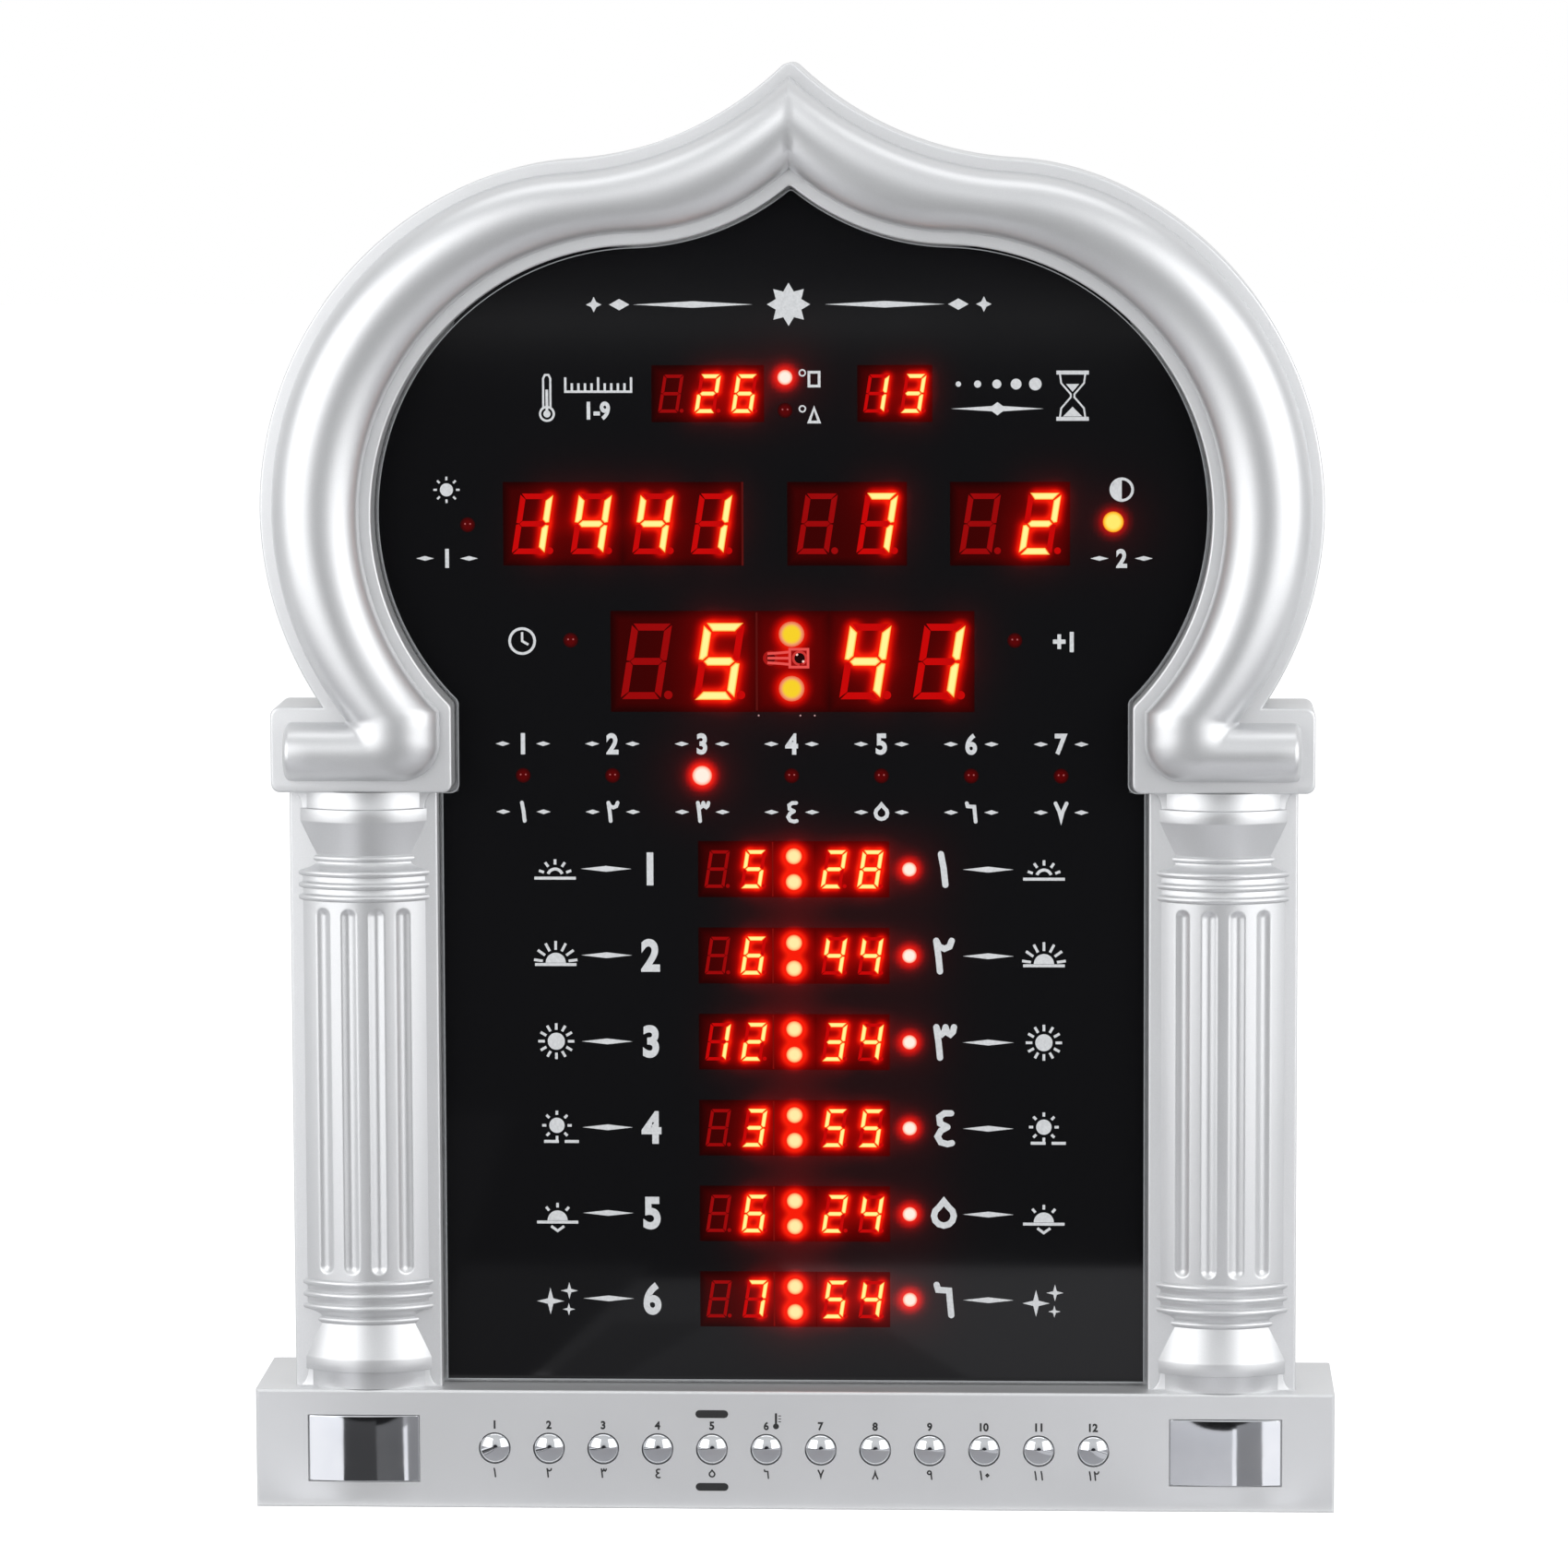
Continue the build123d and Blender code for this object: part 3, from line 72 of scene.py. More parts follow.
camera_place, focal_length = (0.10157, -2.33125, 0.50995), 159.75
yaw, pitch, roll = 0.0451, -0.1137, -0.0036
ahead = Vector((-math.sin(yaw) * math.cos(pitch), math.cos(yaw) * math.cos(pitch), math.sin(pitch)))
level = ahead.cross(Vector((0, 0, 1))).normalized()
upright = level.cross(ahead)
right = math.cos(roll) * level + math.sin(roll) * upright
up = -math.sin(roll) * level + math.cos(roll) * upright
camera = placed("camera", bpy.data.cameras.new("camera"))
camera.data.lens = focal_length
camera.data.sensor_width = 36
camera.data.clip_end = 50
camera.matrix_world = Matrix.Translation(camera_place) @ Matrix((right, up, -ahead)).transposed().to_4x4()
scene.camera = camera


class Value:
    """A shader socket on which Python's arithmetic builds Math nodes."""

    def __init__(self, board, socket):
        self.board = board
        self.socket = socket

    def math(self, operation, *others, clamp=False):
        node = self.board.tree.nodes.new("ShaderNodeMath")
        node.operation = operation
        node.use_clamp = clamp
        for place, value in zip(node.inputs, (self,) + others):
            self.board.feed(place, value)
        return Value(self.board, node.outputs[0])

    def __add__(self, other): return self.math("ADD", other)
    def __sub__(self, other): return self.math("SUBTRACT", other)
    def __rsub__(self, other): return (self * -1) + other
    def __mul__(self, other): return self.math("MULTIPLY", other)
    __radd__ = __add__
    __rmul__ = __mul__

    def clipped(self): return self.math("ADD", 0.0, clamp=True)


class Board:
    """A node tree and the few ways in which nodes are put on it."""

    def __init__(self, tree):
        self.tree = tree

    def feed(self, place, value):
        for item in value if isinstance(value, list) else [value]:
            if isinstance(item, Value):
                self.tree.links.new(item.socket, place)
            else:
                place.default_value = item

    def node(self, kind, settings=None, output=0, **values):
        """Output of a new node; a shader node's kind is given without its first words."""
        made = self.tree.nodes.new(kind if "Node" in kind else "ShaderNode" + kind)
        for key, value in (settings or {}).items():
            if key == "stops":
                ramp = made.color_ramp
                while len(ramp.elements) < len(value):
                    ramp.elements.new(0.5)
                for element, (place, colour) in zip(ramp.elements, value):
                    element.position = place
                    element.color = colour
            else:
                setattr(made, key, value)
        for key, value in values.items():
            self.feed(made.inputs[key.replace("_", " ")], value)
        return Value(self, made.outputs[output])

    def ramp(self, factor, *stops):
        stops = [(place, tuple(colour) + (1,)) for place, *colour in stops]
        return self.node("ValToRGB", {"stops": stops}, Fac=factor)

    def blend(self, factor, first, second):
        mix = self.tree.nodes.new("ShaderNodeMix")
        mix.data_type = "RGBA"
        for index, value in ((0, factor), (6, first), (7, second)):
            self.feed(mix.inputs[index], value)
        return Value(self, mix.outputs[2])

    def seen(self, *rays):
        """One where a ray of one of these kinds asks."""
        total = self.node("LightPath", output=f"Is {rays[0]} Ray")
        for ray in rays[1:]:
            total = total + self.node("LightPath", output=f"Is {ray} Ray")
        return total.clipped()


class Finish(Board):
    """A material with one Principled shader."""

    def __init__(self, name, **constants):
        self.material = bpy.data.materials.new(name)
        self.material.use_nodes = True
        super().__init__(self.material.node_tree)
        self.shader = self.tree.nodes["Principled BSDF"]
        for socket, value in constants.items():
            self.shader.inputs[socket.replace("_", " ")].default_value = value

    def to(self, socket, value):
        self.feed(self.shader.inputs[socket], value)

    def grain(self, noise, low, high, rough, wander):
        """Colour and gloss that follow a noise; low and high are (place on the noise, colour)."""
        self.to("Base Color", self.ramp(noise, low, high))
        self.to("Roughness", rough + noise * wander)

    def bump(self, height, strength, distance):
        self.to("Normal", self.node("Bump", Height=height, Strength=strength, Distance=distance))

    def noise(self, scale, detail=2.0):
        place = self.node("TexCoord", output="Object")
        return self.node("TexNoise", Vector=place, Scale=scale, Detail=detail)


def sheet(name, corners, finish, z=0.0):
    """Flat four-cornered sheet on the table, part of the stage."""
    mesh = bpy.data.meshes.new(name)
    mesh.from_pydata([(x, y, z) for x, y in corners], [], [(0, 1, 2, 3)])
    mesh.materials.append(finish.material)
    made = placed(name, mesh)
    made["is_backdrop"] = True
    return made


sweep = Finish("white_sweep", Roughness=0.9, Specular_IOR_Level=0.0, Base_Color=(0.84, 0.84, 0.84, 1),
               Emission_Strength=1.0)
looking = (sweep.seen("Camera") + sweep.seen("Glossy", "Transmission") * 0.1).clipped()
sweep.to("Emission Color", sweep.blend(looking, (0, 0, 0, 1), (0.55, 0.55, 0.55, 1)))
sheet("floor", ((-9, -9), (9, -9), (9, 9), (-9, 9)), sweep)


def studio_card(name, tone, corners, z=0.0005, own_light=0.0):
    """Card lying on the table that only reflections see."""
    paper = Finish(name, Roughness=1.0, Specular_IOR_Level=0.0, Base_Color=(tone, tone, tone * 1.04, 1),
                   Emission_Color=(1, 1, 1, 1), Emission_Strength=own_light)
    card = sheet(name, corners, paper, z)
    card.visible_camera = card.visible_diffuse = card.visible_shadow = card.visible_transmission = False


studio_card("black_card", 0.012, ((-1.7, -8), (1.7, -8), (0.36, -0.42), (-0.36, -0.42)))
studio_card("grey_card", 0.42, ((-0.9, -0.42), (0.9, -0.42), (0.9, -0.03), (-0.9, -0.03)))
# Strips before each bowed plate: first and last millimetre of the plate, length in metres, tone, own light.
# Each edge leans with the part of the bow that mirrors it.
lean_per_mm, strip_start = 0.988, 0.006
plate_cards = (
    ("left", -plate_x, -6.1, ((-21, -7, 0.8, 0.9, 0.2), (-7, 4.5, 0.8, 0.06, 0), (4.5, 13.8, 0.42, 0.14, 0),
                              (13.8, 15.2, 0.2, 0.9, 0.2), (15.2, 21, 0.3, 0.3, 0))),
    ("right", plate_x, 1.1, ((-21, 2.3, 0.42, 0.66, 0), (2.3, 3.8, 0.5, 0.9, 0.2), (3.8, 12.6, 0.8, 0.28, 0),
                             (12.6, 21, 0.8, 0.9, 0.2))))
for side, middle, lean, strips in plate_cards:
    for count, (first, last, far, tone, own_light) in enumerate(strips):
        ends = []
        for s, out in ((first, strip_start), (last, strip_start), (last, far), (first, far)):
            aside = math.tan(math.radians(lean + lean_per_mm * s)) * out
            ends.append((middle / 1000 + s / 1000 + aside, base_front / 1000 - out))
        studio_card(f"{side}_strip_{count}", tone, ends, z=0.001, own_light=own_light)

world = bpy.data.worlds.new("studio")
scene.world = world
world.use_nodes = True
world.node_tree.nodes.clear()
room = Board(world.node_tree)
toward = room.node("SeparateXYZ", output="Y", Vector=room.node("TexCoord", output="Generated"))
tent = room.ramp((toward * -1).clipped(), (0.0, 0.66, 0.67, 0.68), (0.9, 0.74, 0.75, 0.76),
                 (0.955, 0.66, 0.67, 0.685), (0.978, 0.56, 0.57, 0.585), (0.984, 0.03, 0.03, 0.035),
                 (1.0, 0.02, 0.02, 0.025))
behind = ((toward * 6 - 1).clipped() * room.seen("Glossy", "Transmission") + room.seen("Camera")).clipped()
dim = room.node("Background", Color=tent, Strength=1.0)
white = room.node("Background", Color=(1, 1, 1, 1), Strength=1.0)
either = room.tree.nodes.new("ShaderNodeMixShader")
for index, value in enumerate((behind, dim, white)):
    room.feed(either.inputs[index], value)
room.tree.links.new(either.outputs[0], room.tree.nodes.new("ShaderNodeOutputWorld").inputs[0])

lamp_target = Vector((0, 0, 0.3))
for name, place, size, power in (("left_box", (-1.02, -1.05, 0.5), (1.3, 1.4), 11.0),
                                 ("right_box", (1.08, -0.95, 0.5), (1.3, 1.4), 11.0),
                                 ("top_box", (0, -0.25, 1.5), (1.6, 0.45), 3.0)):
    lamp = placed(name, bpy.data.lights.new(name, "AREA"))
    lamp.data.shape = "RECTANGLE"
    lamp.data.size, lamp.data.size_y = size
    lamp.data.energy = power
    lamp.location = place
    lamp.rotation_euler = (lamp_target - Vector(place)).to_track_quat("-Z", "Y").to_euler()

# ------------------------------------------------------------------ arch, blocks and pilasters
# One moulded plastic frame, 1 mm behind the base's face, sprayed with satin silver metallic paint.
# The flat flange is edged with a small round, and the back rim meets the rear cover.
# It is screwed to the base from below and to the rear cover from behind.
sides = ((-1, "left"), (1, "right"))
base_height = 40.5
rim_centre, rim_radius = (50.0, 336.0), 90.0
rim_point_radius, rim_point_z = 85.0, 445.8
side_centre, side_radius = (59.2, 338.2), 118.0
shoulder_radius, shoulder_angle = 95.3, 65.3
tip_radius, tip_z = 114.0, 487.3
block_inner, block_outer, block_bottom, block_top = 113.7, 174.5, 243.3, 272.0
pilaster_inner, pilaster_outer = 119.2, 169.0
flange_depth, frame_back, plate_depth = 1.0, 34.0, 7.0
outer_corner, outer_point, inner_corner, inner_point = 3, 3.5, 3, 1.5     # radii of the outline's corners
edge_round, frame_wall = 0.8, 0.0022
pilaster_overlap = 1                      # how far a pilaster runs up into its block


def at(x, depth, z):
    return Vector((x, depth + base_front, z)) / 1000


def on(centre, radius, degrees):
    turn = math.radians(degrees)
    return (centre[0] + radius * math.cos(turn), centre[1] + radius * math.sin(turn))


def aim(centre, point):
    return math.degrees(math.atan2(point[1] - centre[1], point[0] - centre[0]))


def tangent_centre(centre, radius, reverse_radius, z):
    """Centre of the reverse curve that runs out of a circle and ends at a height on the middle line."""
    reach = radius + reverse_radius
    dx, dz = -centre[0], z - centre[1]
    gap = math.hypot(dx, dz)
    along = (reach ** 2 - reverse_radius ** 2 + gap ** 2) / (2 * gap)
    across = math.sqrt(reach ** 2 - along ** 2)
    return (centre[0] + (along * dx + across * dz) / gap, centre[1] + (along * dz - across * dx) / gap)


def fall(centre, radius, x):
    return math.sqrt(radius ** 2 - (x - centre[0]) ** 2)


shoulder_centre = on(side_centre, side_radius - shoulder_radius, shoulder_angle)
tip_centre = tangent_centre(shoulder_centre, shoulder_radius, tip_radius, tip_z)
rim_point_centre = tangent_centre(rim_centre, rim_radius, rim_point_radius, rim_point_z)


def arc(centre, radius, start, end, steps):
    return [on(centre, radius, start + (end - start) * i / steps) + (0,) for i in range(1, steps + 1)]


def outer_path(inset):
    """Right-hand outer edge from the point down to the block's foot, as (x, z, corner radius)."""
    top = (0, tip_centre[1] - fall(tip_centre, tip_radius + inset, 0))
    first, joint = aim(tip_centre, top), aim(shoulder_centre, tip_centre)
    path = [top + (outer_point,)] + arc(tip_centre, tip_radius + inset, first, joint - 180, 20)
    path += arc(shoulder_centre, shoulder_radius - inset, joint, shoulder_angle, 14)
    radius, low = side_radius - inset, block_top - inset
    end = -math.degrees(math.asin((side_centre[1] - low) / radius))
    path += arc(side_centre, radius, shoulder_angle, end, 64)
    return path + [(block_outer - inset, z, outer_corner) for z in (low, block_bottom + inset)]


def rim_path(grow):
    """Right-hand edge of the opening from its point down to the block's inner foot."""
    radius, reverse = rim_radius + grow, rim_point_radius - grow
    top = (0, rim_point_centre[1] - fall(rim_point_centre, reverse, 0))
    first, joint = aim(rim_point_centre, top), aim(rim_centre, rim_point_centre)
    path = [top + (inner_point,)] + arc(rim_point_centre, reverse, first, joint - 180, 16)
    neck = block_inner + grow
    end = aim(rim_centre, (neck, rim_centre[1] - fall(rim_centre, radius, neck)))
    path += arc(rim_centre, radius, joint, end, 64)
    return path[:-1] + [path[-1][:2] + (inner_corner,), (neck, block_bottom + grow, inner_corner)]


def rounded(path):
    """Closed outline with its marked corners rounded, as (x, z)."""
    out = []
    for i, (x, z, radius) in enumerate(path):
        if not radius:
            out.append((x, z))
            continue
        here = Vector((x, z))
        before = (Vector(path[i - 1][:2]) - here).normalized()
        after = (Vector(path[(i + 1) % len(path)][:2]) - here).normalized()
        half = before.angle(after) / 2
        centre = here + (before + after).normalized() * radius / math.sin(half)
        start = here + before * radius / math.tan(half) - centre
        swing = math.pi - 2 * half
        side = 1 if before.x * after.y - before.y * after.x < 0 else -1
        for k in range(7):
            spin = side * swing * k / 6
            out.append((centre.x + start.x * math.cos(spin) - start.y * math.sin(spin),
                        centre.y + start.x * math.sin(spin) + start.y * math.cos(spin)))
    return out


def mirrored_points(path):
    return [(-p[0],) + tuple(p[1:]) for p in path]


def rows_mesh(rows, caps=True):
    """Mesh from closed rows of points, each joined to the next; the ends closed with flat faces."""
    shape = bmesh.new()
    lines = [[shape.verts.new(p) for p in row] for row in rows]
    for a, b in zip(lines, lines[1:]):
        for i in range(len(a)):
            j = (i + 1) % len(a)
            shape.faces.new((a[i], a[j], b[j], b[i]))
    if caps:
        shape.faces.new(lines[0])
        shape.faces.new(lines[-1])
    return shape


def smooth(mesh, sharp):
    mesh.polygons.foreach_set("use_smooth", [True] * len(mesh.polygons))
    mesh.set_sharp_from_angle(angle=math.radians(sharp))


def applied(made):
    """Plain mesh of an object as its modifiers leave it."""
    return bpy.data.meshes.new_from_object(made.evaluated_get(bpy.context.evaluated_depsgraph_get()))


def dressed(name, shape, finish, body="case"):
    """Object from a bmesh, with its finish and its body."""
    mesh = bpy.data.meshes.new(name)
    shape.to_mesh(mesh)
    shape.free()
    mesh.materials.append(finish.material)
    made = placed(name, mesh)
    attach(made, body)
    return made


def piece(name, shape, finish, body="case", stands_for=(), sharp=35, merge=1e-6):
    """Smooth piece with outward normals, which may stand for nodes of the solid model."""
    bmesh.ops.remove_doubles(shape, verts=shape.verts, dist=merge)
    bmesh.ops.recalc_face_normals(shape, faces=shape.faces)
    made = dressed(name, shape, finish, body)
    smooth(made.data, sharp)
    if stands_for:
        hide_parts(*stands_for)
    return made


def frame_piece(name, shape, finish, sharp=35):
    return piece(name, shape, finish, stands_for=["front_frame"], sharp=sharp)


def satin_silver(name, low, high, rough):
    """Fine aluminium flake in a satin lacquer, with a trace of orange peel."""
    paint = Finish(name, Metallic=0.7)
    flake, cloud = paint.noise(5200, 1.0), paint.noise(18, 3.0)
    paint.to("Base Color", paint.ramp(flake * 0.7 + cloud * 0.3, (0.3, *low), (0.7, *high)))
    paint.to("Roughness", rough + cloud * 0.06 + flake * 0.05)
    paint.bump(flake * 0.3 + paint.noise(900, 2.0) * 0.7, 0.05, 0.0002)
    return paint


# The flange's tone of the paint, lighter than the tone on the raised moulding: painted light.
silver = satin_silver("silver_paint", (0.645, 0.65, 0.66), (0.705, 0.71, 0.72), 0.40)


def arch_outline(inset):
    half, inner = outer_path(inset), rim_path(inset)
    return rounded(half + inner[::-1] + mirrored_points(inner[1:] + half[:0:-1]))


def soft_edge(front):
    """Insets and depths from the back rim to the front face, round its small edge."""
    turns = [t * math.pi / 8 for t in range(5)]
    return [(0, frame_back)] + [(edge_round * (1 - math.cos(t)), front + edge_round * (1 - math.sin(t)))
                                for t in turns]


rows = [[at(x, depth, z) for x, z in arch_outline(inset)] for inset, depth in soft_edge(flange_depth)]
arch_shape = rows_mesh(rows, caps=False)
arch_shape.verts.ensure_lookup_table()
arch_shape.faces.new(arch_shape.verts[-len(rows[0]):])
arch = frame_piece("arch", arch_shape, silver)
wall = arch.modifiers.new("wall", "SOLIDIFY")
wall.thickness = frame_wall
wall.offset = -1
wall.use_even_offset = True
hollow = applied(arch)
arch.modifiers.clear()
arch.data = hollow

for side, side_name in sides:
    rows = []
    for inset, depth in soft_edge(plate_depth):
        edges = (pilaster_inner + inset, pilaster_outer - inset)
        loop = [(x, base_height) for x in edges] + [(x, block_bottom + pilaster_overlap) for x in edges[::-1]]
        rows.append([at(side * x, depth, z) for x, z in loop])
    frame_piece(f"pilaster_{side_name}", rows_mesh(rows), silver)

# ------------------------------------------------------------------ raised moulding of the arch
# A half-round that swells out of the flange, mitred at the point; at each block it bends round
# a tight crease and ends as a short scroll with rounded ends. Same moulding and same paint as the flange;
# the two are drawn in two tones of that paint, the flange lighter: painted light and shade.
# Darker tone of the same paint for the raised moulding and the columns: painted shade.
raised_silver_shaded = satin_silver("silver_paint_raised_shaded", (0.60, 0.605, 0.615), (0.66, 0.665, 0.675), 0.32)
foot, swell = 4.0, 10.7           # distance of its feet from both edges, and how far it stands out
elbow_radius, crease_radius = 13.0, 0.6
scroll_start, scroll_end, cap_round = 155, 169.5, 2.2
point_step, point_steps = 2.3, 22  # spacing and count of the sections near the point
limb_steps, dome_steps = 72, 32   # sections down the limb, and faces round each section


def dome(inner, outer, squeeze=0.0, sunk=0.5):
    """Half-ellipse on the flange between two points, with its hidden underside."""
    start, end = Vector(inner), Vector(outer)
    middle, half = (start + end) / 2, (end - start) / 2
    half = half * (1 - squeeze / half.length)
    high = swell - squeeze
    points = [at(middle.x - half.x, flange_depth + sunk, middle.y - half.y)]
    for i in range(dome_steps + 1):
        t = math.pi * i / dome_steps
        place = middle - half * math.cos(t)
        points.append(at(place.x, flange_depth - high * math.sin(t), place.y))
    return points + [at(middle.x + half.x, flange_depth + sunk, middle.y + half.y)]


def ray_hit(start, direction, centre, radius, far=True):
    dx, dz = start[0] - centre[0], start[1] - centre[1]
    half_b = dx * direction[0] + dz * direction[1]
    root = math.sqrt(half_b ** 2 - dx ** 2 - dz ** 2 + radius ** 2)
    reach = -half_b + (root if far else -root)
    return (start[0] + reach * direction[0], start[1] + reach * direction[1])


stations = []
for i in range(point_steps):
    x = i * point_step
    stations.append(((x, rim_point_centre[1] - fall(rim_point_centre, rim_point_radius - foot, x)),
                     (x, tip_centre[1] - fall(tip_centre, tip_radius + foot, x))))
middle = ((rim_centre[0] + side_centre[0]) / 2, (rim_centre[1] + side_centre[1]) / 2)
crease_z = block_top - foot
crease = (side_centre[0] + math.sqrt((side_radius - foot) ** 2 - (side_centre[1] - crease_z) ** 2), crease_z)
last = aim(middle, crease)
outer_joint = aim(middle, on(shoulder_centre, shoulder_radius, aim(shoulder_centre, tip_centre)))
for i in range(limb_steps + 1):
    degrees = 90 + (last - 90) * i / limb_steps
    ray = on((0, 0), 1, degrees)
    if degrees > outer_joint:
        outer = ray_hit(middle, ray, tip_centre, tip_radius + foot, far=False)
    elif degrees > shoulder_angle:
        outer = ray_hit(middle, ray, shoulder_centre, shoulder_radius - foot)
    else:
        outer = ray_hit(middle, ray, side_centre, side_radius - foot)
    stations.append((ray_hit(middle, ray, rim_centre, rim_radius + foot), outer))

inner, outer = stations[-1]
push = on((0, 0), crease_radius, aim(inner, outer))
pivot = (outer[0] + push[0], outer[1] + push[1])
left, low = block_inner + foot, block_bottom + foot
bend = (left + elbow_radius, low + elbow_radius)
neck_angle = aim(rim_centre, (left, rim_centre[1] - fall(rim_centre, rim_radius + foot, left)))
ends = [end[:2] for end in arc(rim_centre, rim_radius + foot, aim(rim_centre, inner), neck_angle, 4)]
neck_z = ends[-1][1]
ends += [(left, neck_z + (bend[1] - neck_z) * i / 2) for i in (1, 2)]
ends += [end[:2] for end in arc(bend, elbow_radius, 180, 270, 14)]
ends += [(bend[0] + (crease[0] - bend[0]) * i / 5, low) for i in range(1, 6)]
for end in ends:
    pull = on((0, 0), crease_radius, aim(pivot, end))
    stations.append((end, (pivot[0] + pull[0], pivot[1] + pull[1])))
rows = [dome(a, b) for a, b in stations]
end, top = stations[-1]
round_start = scroll_end - cap_round
for x in (scroll_start, scroll_start + 5, round_start):
    rows.append(dome((x, end[1]), (x, top[1])))
for i in range(1, 6):
    t = i * math.pi / 10
    x = round_start + cap_round * math.sin(t)
    rows.append(dome((x, end[1]), (x, top[1]), squeeze=cap_round * (1 - math.cos(t))))


def open_half(rows):
    """Mesh from rows, left open where it meets its mirror image."""
    half = rows_mesh(rows)
    for face in [f for f in half.faces if all(abs(v.co.x) < 1e-7 for v in f.verts)]:
        half.faces.remove(face)
    return half


shape, other = open_half(rows), open_half([[Vector((-p.x, p.y, p.z)) for p in row] for row in rows])
spare = bpy.data.meshes.new("spare")
other.to_mesh(spare)
other.free()
shape.from_mesh(spare)
bpy.data.meshes.remove(spare)
frame_piece("arch_moulding", shape, raised_silver_shaded, sharp=40)

# ------------------------------------------------------------------ half columns
# Shallow half columns in one piece with the frame: drum, band, cone, thin ring, three rings,
# and a shaft with four round-ended flutes; the foot repeats the head upside down.
sagitta, half_shaft = 7.5, 20.6
axis_gap = (half_shaft ** 2 - sagitta ** 2) / (2 * sagitta)
axis_depth = plate_depth + axis_gap
column_x = (pilaster_inner + pilaster_outer) / 2
flute_width, flute_depth, flute_pitch = 5.4, 1.1, 9.3
shaft_start = 39.1                # from a column's end to the first point of its flutes
row_sweep, row_steps = 87, 120    # degrees of each row about the axis, and its steps
slab_half, slab_neck, slab_height = 24.4, 20.6, 5.8
slab_rows = ((0, 7.4), (0, 6.6), (0.12, 6.32), (0.4, 6.2))   # inset and depth, from inside the plate forwards


def ring_profile(centre, crest, thickness):
    half = thickness / 2
    turns = [math.pi * i / 8 for i in range(9)]
    return [(centre - half * math.cos(t), crest - half + half * math.sin(t)) for t in turns]


# The end's profile as (distance from the end, half width).
profile = [(0, 20.0), (5.5, 20.0), (5.65, 20.15), (5.75, 21.0), (5.85, 21.2), (6.05, 21.3), (8.0, 21.3),
           (9.9, 21.3), (10.2, 21.22), (10.5, 21.05), (10.9, 20.85), (20.9, 16.0), (21.5, 15.8)]
profile += ring_profile(22.7, 17.1, 1.7)
profile += [(23.8, 15.9), (24.4, 16.1), (25.2, 17.2), (26.0, 19.0), (26.45, half_shaft)]
for centre in (27.5, 31.65, 35.8):
    profile += ring_profile(centre, 22.1, 1.9)
    if centre < 35:
        profile += [(centre + 1.2, half_shaft), (centre + 2.8, half_shaft)]
profile += [(37.0, half_shaft), (38.0, half_shaft)]
flute_low = base_height + shaft_start + flute_width / 2
flute_high = block_bottom - shaft_start - flute_width / 2
fine = [flute_low - 2.9 + 0.3 * i for i in range(11)]    # rows lie close where a flute ends
shaft = fine + [flute_low + (flute_high - flute_low) * i / 12 for i in range(1, 12)]
shaft += [flute_low + flute_high - z for z in fine[::-1]]
stack = [(base_height + h, w) for h, w in profile] + [(z, half_shaft) for z in shaft]
stack += [(block_bottom - h, w) for h, w in profile[::-1]]


def groove(arc_x, z):
    """Depth of the flutes at a place on the shaft."""
    nearest = max(-1.5, min(1.5, round(arc_x / flute_pitch - 0.5) + 0.5)) * flute_pitch
    past = max(flute_low - z, z - flute_high, 0)
    reach = math.hypot(arc_x - nearest, past) / (flute_width / 2)
    return flute_depth * (1 - reach ** 2) ** 1.3 if reach < 1 else 0


for side, side_name in sides:
    rows = []
    for z, half in stack:
        radius = math.hypot(half, axis_gap)
        row = []
        for i in range(row_steps + 1):
            spin = math.radians(-row_sweep / 2 + row_sweep * i / row_steps)
            deep = radius - groove(math.hypot(half_shaft, axis_gap) * spin, z)
            row.append(at(side * column_x + deep * math.sin(spin), axis_depth - deep * math.cos(spin), z))
        rows.append(row)
    # The columns take the darker tone of the paint, which is painted shade.
    frame_piece(f"column_{side_name}", rows_mesh(rows), raised_silver_shaded, sharp=42)
    for end, sign, place in ((base_height, 1, "foot"), (block_bottom, -1, "head")):
        loop = [(-slab_half, 0), (slab_half, 0)]
        loop += [(slab_neck + (slab_half - slab_neck) * (1 - math.sin(t)), slab_height * (1 - math.cos(t)))
                 for t in [math.pi / 16 * k for k in range(1, 9)]]
        loop += [(-x, h) for x, h in loop[:1:-1]]
        rows = [[at(side * column_x + x * (1 - inset / slab_half), depth,
                    end + sign * h * (1 - inset / slab_height / 2)) for x, h in loop]
                for inset, depth in slab_rows]
        frame_piece(f"column_{side_name}_{place}_slab", rows_mesh(rows), silver)

# ------------------------------------------------------------------ ledge behind the panel
# A narrow ledge on which the black panel rests. It runs all round the opening behind the sheet
# and is moulded in one piece with the frame's wall.
panel_front, panel_back = 13.2, 16.2
ledge_width, ledge_back, into_wall = 4, 18.7, 0.6


def opening_path(grow):
    """Whole opening of the frame, grown or drawn in, as corner points with their radii."""
    path = rim_path(grow)
    inner = pilaster_inner + grow
    half = path + [(inner, path[-1][1], 0), (inner, base_height - min(grow, 0), 0)]
    return half + mirrored_points(half[:0:-1])


def opening_ring(*steps):
    """Mesh through outlines of the opening, as (grow, depth)."""
    rows = [[at(x, depth, z) for x, z in rounded(opening_path(grow))] for grow, depth in steps]
    return rows_mesh(rows, caps=False)


ledge = opening_ring((into_wall, panel_back), (into_wall, ledge_back), (-ledge_width, ledge_back),
                     (-ledge_width, panel_back), (into_wall, panel_back))
frame_piece("panel_ledge", ledge, silver)

# ------------------------------------------------------------------ base
# A hollow moulded box on which the frame stands, in the same silver paint. Its front wall has the
# buttons' holes and the chrome plates' seats, and a black plate closes it from behind.
base_silver = satin_silver("silver_paint_base", (0.65, 0.655, 0.665), (0.71, 0.715, 0.725), 0.40)


def dress(finish, *nodes):
    """Gives carried-over solids their finish."""
    for node in nodes:
        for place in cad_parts[node].material_slots:
            place.material = finish.material


dress(base_silver, "base_housing")

